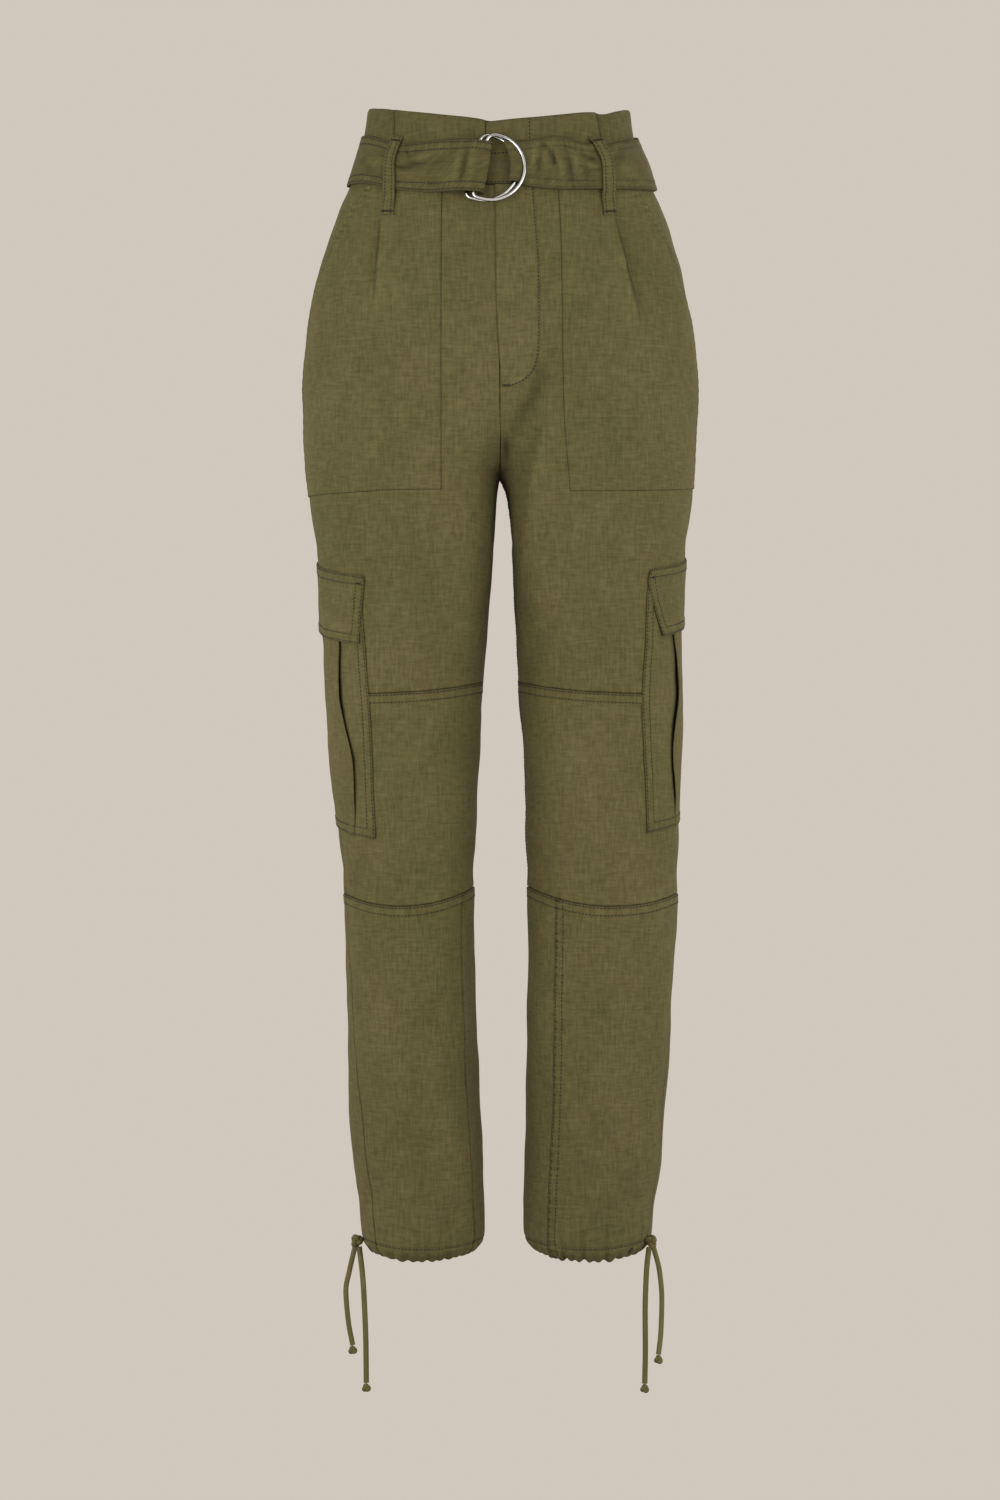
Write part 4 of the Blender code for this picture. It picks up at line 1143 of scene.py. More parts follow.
def cargo_flap(word, side):
    rows = spaced(FLAP_HEIGHT, 18, STITCHED_LINES, STITCHED_LINES)
    share = rows / FLAP_HEIGHT
    half = through(FLAP_LEVELS, FLAP_HALF[side])(share)[:, None]
    columns = spaced(2 * half[:, 0], 46, STITCHED_LINES, STITCHED_LINES) - half
    piece = cargo_piece(side, FLAP_TOP - FLAP_HEIGHT + rows, columns)
    lifted = 0.7 + 2.1 * fall(np.abs(columns) - FLAP_CREST[side], 3.2)
    low = through((0, 0.35, 0.6, 0.8, 1), (1.1, 0.85, 0.6, 0.3, 0))(share)[:, None]
    piece.height += 0.8 + 0.9 * (1 - share[:, None]) + lifted * low
    piece.height += 0.45 * np.sin(columns / 15 + side) * np.sin(math.pi * share)[:, None]
    snap = np.hypot(columns - 31, (rows - 17)[:, None])
    piece.height += 0.35 * bell(snap - 5.5, 1.3) + 0.25 * (snap < 5.5)
    sewn_edges(piece, {"first": "over", "last": "over", "low": "over", "high": "over"})
    corner = slice(-9, -4)
    TACKS.append((piece.points()[-8, corner], piece.normal[-8, corner]))
    cloth_object(f"cargo_flap_{word}", piece, 1.0)


def cargo_pockets():
    for word, side in SIDES.items():
        cargo_pocket(word, side)
        cargo_flap(word, side)


def girth_turn(distance):
    """The angle at a distance round the belt line from the centre front, and half the way round."""
    turns = np.linspace(math.pi / 2, -math.pi / 2, 721)
    run = running(form(1, turns, np.full(len(turns), BELT_Z)), 0)
    return np.interp(np.abs(distance), run, turns), float(run[-1])


HALF_GIRTH = girth_turn(0.0)[1]
TO_LEFT = -2 * HALF_GIRTH  # once round the waist by the wearer's right, back to the centre front
BELT_OFFSET = 2.1  # from the form to the belt's inner face
BELT_WALL = 1.6
LAYERS = 0.3  # between layers
RING_WIRE = 3.2
RING_ARM = 10.0
RING_YAW = 1.5
RING_SHIFT = 6.0  # the back ring lies this much nearer the looped end
LAYER_1 = BELT_OFFSET + BELT_WALL / 2
LAYER_2 = LAYER_1 + BELT_WALL + LAYERS
BACK_RING_HEIGHT = BELT_OFFSET + BELT_WALL + LAYERS + RING_WIRE / 2
RING_STEP = RING_WIRE + 3 * LAYERS
OVER_RINGS = BACK_RING_HEIGHT + RING_STEP + RING_WIRE / 2 + LAYERS + BELT_WALL / 2


def waist_piece(distance, z, height):
    """Cloth at a signed distance round the waist from the centre front, past either centre too."""
    distance = np.mod(distance + HALF_GIRTH, 2 * HALF_GIRTH) - HALF_GIRTH
    side = np.where(distance > 0, 1.0, -1.0)
    turn = girth_turn(distance)[0] * centre_turn(side, z) / (math.pi / 2)
    piece = Piece(side, turn, z)
    piece.height = drift(piece.base) + height
    piece.plumb = False
    return piece


def fold_round(at, reach, top, degrees, half, lean):
    """The strap's middle line round the end of a fold, from its inner layer to its outer one."""
    return [(at + reach * math.cos(t), LAYER_1 + (top - LAYER_1) / 2 * (1 + math.sin(t)), half, lean)
            for t in np.radians(degrees)]


def belt_path():
    """The strap's middle line: distance round the waist, height, half width and share of lean.

    It starts at the end turned back behind the rings, goes round the wearer's right side and the
    back, comes up through both rings, folds over the back ring's bow and ends at the left side.
    """
    full = BELT_WIDTH / 2
    snug = full - 5
    points = [(-47, LAYER_1, full, 0), (-40, LAYER_1, full, 0), (-16, LAYER_1, full, 0.4)]
    points += fold_round(-15, 4.6, OVER_RINGS + 0.6, (-60, -25, 10, 45), full, 0.5)
    points += [(-16.5, OVER_RINGS + 1.1, full, 0.8), (-24, OVER_RINGS + 1.4, full, 1),
               (-31, OVER_RINGS - 0.6, full, 1), (-38, OVER_RINGS - 3.6, full, 1),
               (-45, LAYER_2 + 1.2, full, 0.8), (-53, LAYER_2 - 0.6, full, 0.4),
               (-61, LAYER_1 + 0.1, full, 0)]
    points += [(g, LAYER_1, full, 0) for g in np.linspace(-78, TO_LEFT + 50, 34)]
    bow = RING_CENTRE[0] - RING_SHIFT + RING_RADIUS
    bow_height = BACK_RING_HEIGHT + 0.7 + (bow - RING_CENTRE[0]) * math.sin(math.radians(RING_YAW))
    top = bow_height + RING_WIRE / 2 + BELT_WALL / 2 + 2 * LAYERS
    at = TO_LEFT + bow
    points += [(TO_LEFT + 36, LAYER_1, full - 1, 0), (TO_LEFT + 24, LAYER_1, snug + 1, 0),
               (at - 1, LAYER_1, snug, 0)]
    points += fold_round(at - 1, -6.2, top, (-55, -20, 20, 55), snug, 0)
    points += [(at - 1, top, snug, 0), (at + 2, top - 0.2, snug, 0), (at + 5, top - 2.7, snug + 1, 0),
               (at + 9, LAYER_2 + 1.0, full - 2, 0), (at + 14, LAYER_2 + 0.2, full - 1, 0),
               (at + 21, LAYER_2, full, 0)]
    return points + [(TO_LEFT + g, LAYER_2, full, 0) for g in np.linspace(54, 222, 11)]


BELT_ROWS = (2.0, 8.0)  # a double row of stitching, from each edge
BELT_LINES = (0, 0.5, 1.2, 2.0, 2.9, 4.4, 6.4, 7.2, 8.0, 8.8, 10.2)
# The belt's edges across the front, where it hangs lower than at the sides.
BELT_EDGES = (
    # x, top, bottom
    (-141, 28.5, -19.0),
    (-125, 26.5, -21.0),
    (-101, 16.5, -26.8),
    (-89, 12.0, -30.4),
    (-76, 12.6, -32.4),
    (-52, 13.4, -34.5),
    (-30, 12.2, -36.3),
    (-8, 9.2, -37.0),
    (1, 9.4, -29.0),
    (12, 9.7, -26.4),
    (18, 10.0, -28.6),
    (39, 14.6, -31.5),
    (54, 15.8, -32.0),
    (76, 11.0, -30.7),
    (90, 11.4, -30.1),
    (112, 18.5, -29.0),
    (127, 24.5, -27.0),
    (141, 25.5, -25.0),
)


def bow_offset(height):
    """How far the bow falls back from its widest point, at a height from its middle."""
    return RING_RADIUS - np.sqrt(np.maximum(RING_RADIUS**2 - height**2, 0))


# Wrinkles pressed into the belt where it is drawn through the rings and the loops: distance round
# the waist from the centre front, height from the belt's middle, how high, how long, how wide, turn.
BELT_WRINKLES = (
    # round, up, height, length, width, degrees
    (30, 4, 2.2, 9, 2.6, 78),
    (35, 0, -2, 11, 2.2, 70),
    (41, 7, 2.4, 10, 3.0, 60),
    (47, 4, -2.7, 9, 1.8, 108),
    (43, 13, -1.4, 6, 2.2, 130),
    (53, -2, 1.5, 12, 3.2, 95),
    (61, -4, -1.4, 13, 2.6, 88),
    (69, 2, 1, 13, 4, 85),
    (77, -6, -0.9, 10, 3, 80),
    (86, 6, -2.1, 9, 1.8, 155),
    (84, 0, 1.5, 8, 2.4, 160),
    (90, -3, -1.8, 8, 1.8, 172),
    (110, 10, 1, 9, 3, 30),
    (116, 3, -0.9, 10, 2.6, 35),
    (122, -9, 0.6, 12, 4, 160),
    (22, 0, -0.9, 3.0, 12, 90),
    (20, 4, -0.8, 6, 1.4, 4),
    (-24, 2, 1.2, 15, 2.6, 84),
    (-31, -2, -1.6, 16, 2.2, 82),
    (-37, 0, 1.1, 15, 2.6, 84),
    (-56, 3, -0.6, 12, 4, 12),
    (-74, 8, 0.9, 12, 3, 14),
    (-80, 2, -1.9, 12, 2.4, 8),
    (-92, -1, -1.5, 7, 1.6, 168),
    (-88, 12, -1.1, 6, 1.6, 130),
    (-84, -7, 0.7, 10, 3, 170),
    (-45, -12, 0.5, 10, 5, 165),
    (-114, 8, -0.9, 9, 2.2, 28),
    (-120, 0, 0.9, 12, 4, 20),
    (-128, -8, -0.7, 12, 3, 160),
    (-170, 4, -0.6, 16, 6, 15),
    (-250, 8, -0.9, 10, 2.4, 20),
    (-260, -6, 0.8, 16, 5, 170),
    (-330, 5, -0.6, 18, 6, 12),
    (-420, -3, 0.8, 14, 4, 165),
    (-436, 6, -0.9, 12, 3, 20),
    (-500, 4, -0.6, 18, 7, 15),
    (-600, -2, 0.8, 14, 4, 170),
    (-612, 6, -0.9, 10, 2.4, 15),
)


def belt():
    points = belt_path()
    places = np.arange(len(points))
    girth, height, half, lean = (through(places, [p[k] for p in points]) for k in range(4))
    fine = np.linspace(0, len(points) - 1, 6000)
    run = np.r_[0, np.cumsum(np.hypot(np.diff(girth(fine)), np.diff(height(fine))))]
    u = np.interp(np.linspace(0, run[-1], int(run[-1] / 2.8)), run, fine)[None, :]
    share = spaced(BELT_WIDTH, 7, BELT_LINES, BELT_LINES)[:, None] / BELT_WIDTH
    across = (share * 2 - 1) * half(u)
    distance = girth(u) + lean(u) * across * math.tan(math.radians(RING_LEAN))
    # Where the looped end is folded round the rings, it follows their bow.
    near_bow = clamp(2.2 - np.abs(girth(u) - (TO_LEFT + 12)) / 12)
    top, bottom = column(BELT_EDGES, 1), column(BELT_EDGES, 2)
    rise = bottom(16.0) + (top(16.0) - bottom(16.0)) * share - RING_CENTRE[1]
    follows = 0.35 + 0.65 * clamp((u - (len(points) - 20)) / 3)
    distance = distance - bow_offset(rise) * near_bow * follows
    piece = waist_piece(distance, BELT_Z + across, height(u))
    x = piece.base[..., 0]
    wanted = bottom(x) + (top(x) - bottom(x)) * share
    piece.sag = (wanted - piece.base[..., 2]) * clamp(0.6 - piece.normal[..., 1] * 2.5)
    # Stitched grooves, puckers between them, and wrinkles.
    away = half(u) - np.abs(across)
    grooves = sum(bell(away - row, 0.8) for row in BELT_ROWS)
    emboss = 0.10 * bell(away - 5, 2.2) - 0.28 * grooves - 0.2 * bell(away, 0.7)
    tail = u > len(points) - 19
    for round_, up, rise, length, width, degrees in BELT_WRINKLES:
        cos, sin = math.cos(math.radians(degrees)), math.sin(math.radians(degrees))
        at = distance - round_ - np.where((round_ > 0) & tail, TO_LEFT, 0)
        one = (at * cos + (across - up) * sin) / length
        two = ((across - up) * cos - at * sin) / width
        emboss = emboss + rise * np.exp(-(one**2) - two**2)
    path = np.interp(u, fine, run)
    wave = np.sin(2 * math.pi * (path + 2 * np.sin(path / 13)) / 7.0 + 0.5 * np.sign(across))
    piece.emboss = emboss + 0.30 * wave * bell(away - 5, 4.5)
    # The wrinkles' crests are painted lighter, and the stitched grooves, edges and wrinkles' hollows
    # darker: painted light and shade. The whole belt is a little darker too.
    piece.tone += 0.8 * piece.emboss - 0.5 * grooves - 0.7 * bell(away, 0.8) - 0.42
    piece.lift = 0.72
    for row in BELT_ROWS:
        for edge in ("low", "high"):
            piece.sew(edge, row)
    cloth_object("belt", piece, 1.35, inwards=0.0)


LOOP_WIDTH = 12.8
LOOPS = (
    # name, side, distance round the belt, lean, plies of the belt's tail under it
    ("belt_loop_front_left", 1, 99, -0.20, 1),
    ("belt_loop_front_right", -1, 105, -0.28, 0),
    ("belt_loop_side_left", 1, 262, 0, 0),
    ("belt_loop_side_right", -1, 262, 0, 0),
    ("belt_loop_back", 1, HALF_GIRTH, 0, 0),
)


def belt_loops():
    for name, side, girth, lean, over in LOOPS:
        above = LAYER_1 + BELT_WALL / 2 + LAYERS + over * (BELT_WALL + LAYERS)
        profile = [(-44, 2.2), (-41, 2.1), (-33, 2.2), (-25, 3.0), (-20, above), (5, above + 0.5),
                   (22, above), (26.4, above - 0.4), (28.4, 2.8), (29.6, 2.3), (31, 2.3)]
        rule = through([p[0] for p in profile], [p[1] for p in profile])
        z = np.linspace(-44, 31, 46)[:, None]
        lines = np.array([-1, -0.9, -0.76, -0.58, -0.43, -0.22, 0, 0.22, 0.43, 0.58, 0.76, 0.9, 1])
        across = (lines * LOOP_WIDTH / 2)[None, :]
        hook = 9.0 * clamp((z - 4) / 26) ** 1.6 if lean else 0.0 * z
        distance = side * (girth - lean * (z - BELT_Z) - hook) + across
        piece = waist_piece(distance, z, rule(z) + 0.75)
        away = LOOP_WIDTH / 2 - np.abs(across) + 0 * z
        piece.height += 0.25 * bell(across, 2) - 0.3 * bell(away, 0.8)
        piece.height += 0.12 * np.sin(z / 1.9 + 1.2 * np.sin(z / 7)) * bell(away - 3, 2)
        # Painted shade along the stitch rows and the loop's edges.
        piece.tone -= 0.3 * bell(away - 3, 0.8) + 0.9 * bell(away, 0.8)
        for edge in ("first", "last"):
            piece.sew(edge, 2.9)
        cloth_object(name, piece, 0.8)
        for row in (2, -4):
            points = piece.points()[row]
            TACKS.append((points[1:-1], piece.facing(piece.points())[row][1:-1]))


def ring_points():
    """The D's middle line in its own plane: bow, arm, bar, arm."""
    points = []
    for turn in np.linspace(math.pi / 2, -math.pi / 2, 73):
        points.append((RING_RADIUS * math.cos(turn), RING_RADIUS * math.sin(turn)))
    for sign, corner in ((-1, 4.5), (1, 8.0)):
        arc = [(-RING_ARM + corner * (1 - math.sin(t)), sign * (RING_RADIUS - corner * (1 - math.cos(t))))
               for t in np.linspace(0, math.pi / 2, 9)]
        points += arc if sign < 0 else arc[::-1]
    return points


def tube(name, points, radius, closed=False, bevel=4, material="olive cord"):
    """A round cord or wire along a line of points, in millimetres."""
    curve = bpy.data.curves.new(name, "CURVE")
    curve.dimensions = "3D"
    curve.bevel_depth = radius * MM
    curve.bevel_resolution = bevel
    curve.use_fill_caps = not closed
    spline = curve.splines.new("POLY")
    spline.points.add(len(points) - 1)
    spline.use_cyclic_u = closed
    spline.use_smooth = True
    for point, place in zip(spline.points, points):
        point.co = (*(float(v) * MM for v in place), 1)
    curve.materials.append(bpy.data.materials[material])
    return bpy.data.objects.new(name, curve)


def rings():
    lean, yaw = math.radians(RING_LEAN), math.radians(RING_YAW)
    low, middle, high = form(1, np.full(3, math.pi / 2), BELT_Z + np.array([-30, 0, 30]))
    slope = (high[1] - low[1]) / (high[2] - low[2])
    for name, shift, height in (("d_ring_back", RING_SHIFT, BACK_RING_HEIGHT),
                                ("d_ring_front", 0.0, BACK_RING_HEIGHT + RING_STEP)):
        points = []
        for along, rise in ring_points():
            x = along * math.cos(lean) + rise * math.sin(lean) + RING_CENTRE[0] - shift
            z = rise * math.cos(lean) - along * math.sin(lean)
            y = middle[1] - height - (x - RING_CENTRE[0]) * math.sin(yaw) + z * slope
            points.append((x, y, z + RING_CENTRE[1]))
        ring = tube(name + "_polished", points, RING_WIRE / 2, closed=True, bevel=6,
                    material="polished nickel")
        link(ring, name, slot="nickel")


CORD = 5.0  # diameter of the drawcord
KNOT_SIZE = (12, 11, 14)
KNOT_RISE = 1.6  # the drawn knot's middle above the cord's way out of the hem
END_KNOT_SIZE = (8.5, 8, 8.8)
TIES = {
    # side: the knot's turn in degrees and its height off the form, then each strand's route from it
    -1: (14, 6.5, (
        ("short", ((-1.6, -1, -3.4), (-6.5, -4, -25), (-9.7, -7, -43), (-7.5, -8, -70), (-3.5, -8, -92))),
        ("long", ((2.2, -1.5, -3.6), (5.5, -6, -30), (7.5, -9, -62), (8.6, -10, -95), (8.9, -10, -126))),
    )),
    1: (24, 5.7, (
        ("long", ((-2.0, -2.0, -3.6), (-4.4, -7, -25), (-5.6, -7, -62), (-5.4, -8, -95), (-6, -8, -126))),
        ("short", ((2.2, -1, -3.5), (7.5, -3, -25), (9.6, -4.5, -50), (8.8, -5.5, -78), (6.5, -6, -100))),
    )),
}


def knot(name, node, centre, size, radius, turn):
    """A cord drawn up in an overhand knot, which is a trefoil pulled tight."""
    points = []
    for t in np.linspace(0, 2 * math.pi, 72, endpoint=False):
        across = (math.sin(t) + 2 * math.sin(2 * t)) / 3 * (size[0] / 2 - radius)
        up = (math.cos(t) - 2 * math.cos(2 * t)) / 3 * (size[2] / 2 - radius)
        points.append((centre[0] + across * math.cos(turn) - up * math.sin(turn),
                       centre[1] - math.sin(3 * t) * (size[1] / 2 - radius),
                       centre[2] + across * math.sin(turn) + up * math.cos(turn)))
    return link(tube(name, points, radius, closed=True), node, slot="cord")


def ties():
    for word, side in SIDES.items():
        degrees, height, strands = TIES[side]
        turn, z = np.radians([float(degrees)]), np.array([HEM + 12.5])
        centre = (form(side, turn, z) + form_normal(side, turn, z) * height)[0]
        knot(f"knot_{word}", f"tie_knot_{word}", centre + (0, 0, KNOT_RISE), KNOT_SIZE, 2.4, 0.4 * side)
        for kind, route in strands:
            places = np.linspace(0, 1, len(route))
            axes = [through(places, [c + p[k] for p in route]) for k, c in enumerate(centre)]
            points = np.stack([axis(np.linspace(0, 1, 33)) for axis in axes], axis=-1)
            radius = CORD / 2 if kind == "long" else CORD / 2 - 0.15
            strand = link(tube(f"cord_{kind}_{word}", points, radius), f"tie_{kind}_{word}", slot="cord")
            below = centre + route[-1] - (0, 0, END_KNOT_SIZE[2] / 2 + LAYERS)
            end = knot(f"end_{kind}_{word}", f"tie_end_{kind}_{word}", below, END_KNOT_SIZE, 1.95,
                       0.9 * side)


HOLE_TURN = {1: 46.0, -1: 27.0}  # degrees round from the outside
HOLE_HALF_WIDTH, HOLE_HALF_HEIGHT = 1.5, 2.4  # in degrees and in millimetres


def buttonholes():
    """The drawcord's openings in the hems, each bound with close stitches."""
    for word, side in SIDES.items():
        t = np.linspace(0, 2 * math.pi, 33)
        turn = np.radians(HOLE_TURN[side] + HOLE_HALF_WIDTH * np.cos(t))
        z = HEM + 6.5 + HOLE_HALF_HEIGHT * np.sin(t)
        normals = form_normal(side, turn, z)
        stitching_object(f"buttonhole_{word}", [(form(side, turn, z) + normals * 1.1, normals)], 0.75,
                         HOLE_STITCH)


def topstitching(pitch):
    for group, lines in SEWN.items():
        if lines:
            stitching_object(f"stitching_{group}", lines, pitch)
    stitching_object("bartacks", TACKS, 0.8, TACK_STITCH)


# ---------------------------------------------------------------- finishes

CORD_TONE = 1.10  # the cord is a little paler than flat cloth


def join(tree, socket, value):
    """Sets a socket to a number or a colour, or links it to another node."""
    if isinstance(value, bpy.types.NodeSocket):
        tree.links.new(value, socket)
    else:
        socket.default_value = value


def fill(tree, node, **values):
    """Sets or links a node's sockets by name."""
    for name, value in values.items():
        join(tree, node.inputs[name.replace("_", " ")], value)
    return node


def add(tree, kind, **values):
    return fill(tree, tree.nodes.new("ShaderNode" + kind), **values)


def node_group(name, outputs):
    """An effect that several finishes share, with the place it reads, drawn to size, and its outputs."""
    group = bpy.data.node_groups.new(name, "ShaderNodeTree")
    for socket, kind in (("Place", "Vector"), ("Size", "Float")):
        group.interface.new_socket(socket, in_out="INPUT", socket_type="NodeSocket" + kind)
    for output in outputs:
        group.interface.new_socket(output, in_out="OUTPUT", socket_type="NodeSocketFloat")
    entry = group.nodes.new("NodeGroupInput").outputs
    place = group.nodes.new("ShaderNodeVectorMath")
    place.operation = "SCALE"
    join(group, place.inputs[0], entry["Place"])
    fill(group, place, Scale=entry["Size"])
    return group, place.outputs["Vector"], group.nodes.new("NodeGroupOutput")


def stretched_noise(tree, place, scale, detail=2.0, roughness=0.5, distortion=0.0):
    stretched = add(tree, "Mapping", Vector=place, Scale=scale).outputs["Vector"]
    return add(tree, "TexNoise", Vector=stretched, Scale=1.0, Detail=detail, Roughness=roughness,
               Distortion=distortion).outputs["Fac"]


def arithmetic(tree, operation, *values):
    node = tree.nodes.new("ShaderNodeMath")
    node.operation = operation
    for socket, value in zip(node.inputs, values):
        join(tree, socket, value)
    return node.outputs[0]


def ranged(tree, value, low, high, to_low=0.0, to_high=1.0):
    return add(tree, "MapRange", Value=value, From_Min=low, From_Max=high, To_Min=to_low,
               To_Max=to_high).outputs["Result"]


def blended(tree, share, one, two, mode="MIX"):
    node = tree.nodes.new("ShaderNodeMix")
    node.data_type = "RGBA"
    node.blend_type = mode
    sockets = {socket.identifier: socket for socket in (*node.inputs, *node.outputs)}
    for name, value in (("Factor_Float", share), ("A_Color", one), ("B_Color", two)):
        join(tree, sockets[name], (*value, 1) if isinstance(value, tuple) else value)
    return sockets["Result_Color"]


def mixed(tree, share, one, two):
    """A shader between two others."""
    node = add(tree, "MixShader", Fac=share)
    join(tree, node.inputs[1], one)
    join(tree, node.inputs[2], two)
    return node.outputs["Shader"]


def bumped(tree, shader, height, strength, distance):
    bump = add(tree, "Bump", Height=height, Strength=strength, Distance=distance)
    fill(tree, shader, Normal=bump.outputs["Normal"])


def weave_group():
    """Slubbed plain weave: uneven yarns both ways, and the fine grid of threads between them."""
    group, place, result = node_group("slub weave", ("Yarns", "Streaks", "Threads"))
    for name, weft, warp in (("Yarns", (75, 430, 1), (450, 70, 1)),
                             ("Streaks", (22, 260, 1), (270, 20, 1))):
        both = [stretched_noise(group, place, scale, 2.0, 0.6, 0.3) for scale in (weft, warp)]
        mean = arithmetic(group, "MULTIPLY", arithmetic(group, "ADD", *both), 0.5)
        fill(group, result, **{name: mean})
    fill(group, result, Threads=stretched_noise(group, place, (1900, 1900, 1), 1.0))
    return group


def fading_group():
    """Broad patches where worn cloth has faded or turned browner."""
    group, place, result = node_group("fading", ("Broad", "Small"))
    broad = stretched_noise(group, place, (11, 11, 7), 3.0, 0.55, 0.6)
    small = stretched_noise(group, place, (46, 46, 32), 3.0, 0.6, 0.5)
    fill(group, result, Broad=ranged(group, broad, 0.36, 0.64), Small=ranged(group, small, 0.3, 0.7))
    return group


def place_group(tree, group, place, size=1.0):
    node = tree.nodes.new("ShaderNodeGroup")
    node.node_tree = group
    return fill(tree, node, Place=place, Size=size).outputs


def new_material(name, **values):
    """A finish with its node tree and its shader, whose sockets are set by name."""
    made = bpy.data.materials.new(name)
    made.use_nodes = True
    tree = made.node_tree
    return made, tree, fill(tree, tree.nodes["Principled BSDF"], **values)


def cloth_finish(name, weave, fading, colours, size=1.0, on_cord=False):
    _, tree, shader = new_material(name, Roughness=0.93, Sheen_Weight=0.07, Sheen_Roughness=0.6,
                                   Sheen_Tint=(0.8, 0.72, 0.45, 1), Specular_IOR_Level=0.18)
    surface = where = add(tree, "TexCoord").outputs["Object"]
    tone = CORD_TONE
    if not on_cord:
        uv, attribute = add(tree, "UVMap"), add(tree, "Attribute")
        uv.uv_map, attribute.attribute_name = "cloth", "tone"
        surface = uv.outputs["UV"]
        # The tone attribute, painted light and shade, scales the cloth's colour.
        tone = ranged(tree, attribute.outputs["Fac"], -1.8, 1, 0.32, 1.38)
    woven = place_group(tree, weave, surface, size)
    worn = place_group(tree, fading, where)
    base, brown, pale = colours
    colour = blended(tree, arithmetic(tree, "MULTIPLY", worn["Broad"], 0.45), base, brown)
    colour = blended(tree, ranged(tree, woven["Streaks"], 0.42, 0.66, 0.0, 0.21), colour, pale)
    shade = ranged(tree, woven["Yarns"], 0.36, 0.64, 0.78, 1.20)
    for factor in (ranged(tree, woven["Threads"], 0.3, 0.7, 0.94, 1.06),
                   ranged(tree, worn["Small"], 0, 1, 0.95, 1.05), tone):
        shade = arithmetic(tree, "MULTIPLY", shade, factor)
    grey = add(tree, "CombineColor", Red=shade, Green=shade, Blue=shade).outputs["Color"]
    fill(tree, shader, Base_Color=blended(tree, 1.0, colour, grey, "MULTIPLY"))
    height = arithmetic(tree, "MULTIPLY_ADD", woven["Threads"], 0.35, woven["Yarns"])
    bumped(tree, shader, height, 0.55, 0.0006)


def materials(colours):
    weave, fading = weave_group(), fading_group()
    cloth = [tuple(colours.cloth), tuple(colours.brown), tuple(colours.pale)]
    cloth_finish("olive cloth", weave, fading, cloth)
    cloth_finish("olive cord", weave, fading, cloth, 1.6, on_cord=True)

    _, tree, shader = new_material("sewing thread", Roughness=0.75)
    worn = place_group(tree, fading, add(tree, "TexCoord").outputs["Object"], 8.0)
    thread = tuple(colours.thread)
    light = tuple(min(c * 1.8, 1) for c in thread)
    fill(tree, shader, Base_Color=blended(tree, worn["Small"], thread, light))

    # The rings' colour is darkened at their rims, as seen from the camera, and along the middle of their
    # upper halves: a painted reflection of a dark room.
    _, tree, shader = new_material("polished nickel", Metallic=1.0)
    where = add(tree, "TexCoord").outputs["Object"]
    scuffs = stretched_noise(tree, where, (900, 300, 300), 4.0, 0.6)
    worn = place_group(tree, fading, where, 6.0)
    nickel = tuple(colours.nickel)
    dull, dark = (tuple(c * share for c in nickel) for share in (0.82, 0.08))
    facing = add(tree, "LayerWeight", Blend=0.5).outputs["Facing"]
    high = add(tree, "SeparateXYZ", Vector=where).outputs["Z"]
    colour = blended(tree, worn["Small"], nickel, dull)
    # Painted reflection: darker where the wire turns away from the camera.
    colour = blended(tree, ranged(tree, facing, 0.12, 0.38), colour, dark)
    # Painted reflection: a dark band along the middle of the upper halves.
    painted_reflection_band = arithmetic(tree, "MULTIPLY", ranged(tree, facing, 0.04, 0.015),
                      ranged(tree, high, -0.022, -0.006, 0.0, 0.85))
    fill(tree, shader, Base_Color=blended(tree, painted_reflection_band, colour, dark),
         Roughness=ranged(tree, scuffs, 0.35, 0.75, 0.07, 0.18))
    bumped(tree, shader, scuffs, 0.08, 0.0002)


# ---------------------------------------------------------------- camera and stage


SENSOR = 36.0
FIELD = 1.365  # height of what the camera sees at the trousers
FLOOR_Z, FLOOR_RADIUS = -1.45, 1.5


def add_object(name, data, place, turn=(0.0, 0.0, 0.0)):
    obj = bpy.data.objects.new(name, data)
    obj.location, obj.rotation_euler = place, turn
    bpy.context.scene.collection.objects.link(obj)
    return obj


def camera(distance, height):
    data = bpy.data.cameras.new("camera")
    data.sensor_fit = "VERTICAL"
    data.sensor_height = SENSOR
    data.lens = SENSOR * distance / FIELD
    bpy.context.scene.camera = add_object("camera", data, (0.0, -distance, height),
                                          (math.radians(90), 0.0, 0.0))


def lamp(name, place, size, energy, aim=(0.0, 0.0, -0.45)):
    data = bpy.data.lights.new(name, "AREA")
    data.shape, data.size, data.energy = "DISK", size, energy
    turn = (Vector(aim) - Vector(place)).to_track_quat("-Z", "Y").to_euler()
    add_object(name, data, place, turn)


def seen_directly(tree):
    """1 for rays that come straight from the camera, or off metal, or through glass."""
    path = tree.nodes.new("ShaderNodeLightPath")
    seen = arithmetic(tree, "MAXIMUM", path.outputs["Is Camera Ray"], path.outputs["Is Glossy Ray"])
    return arithmetic(tree, "MAXIMUM", seen, path.outputs["Is Transmission Ray"])


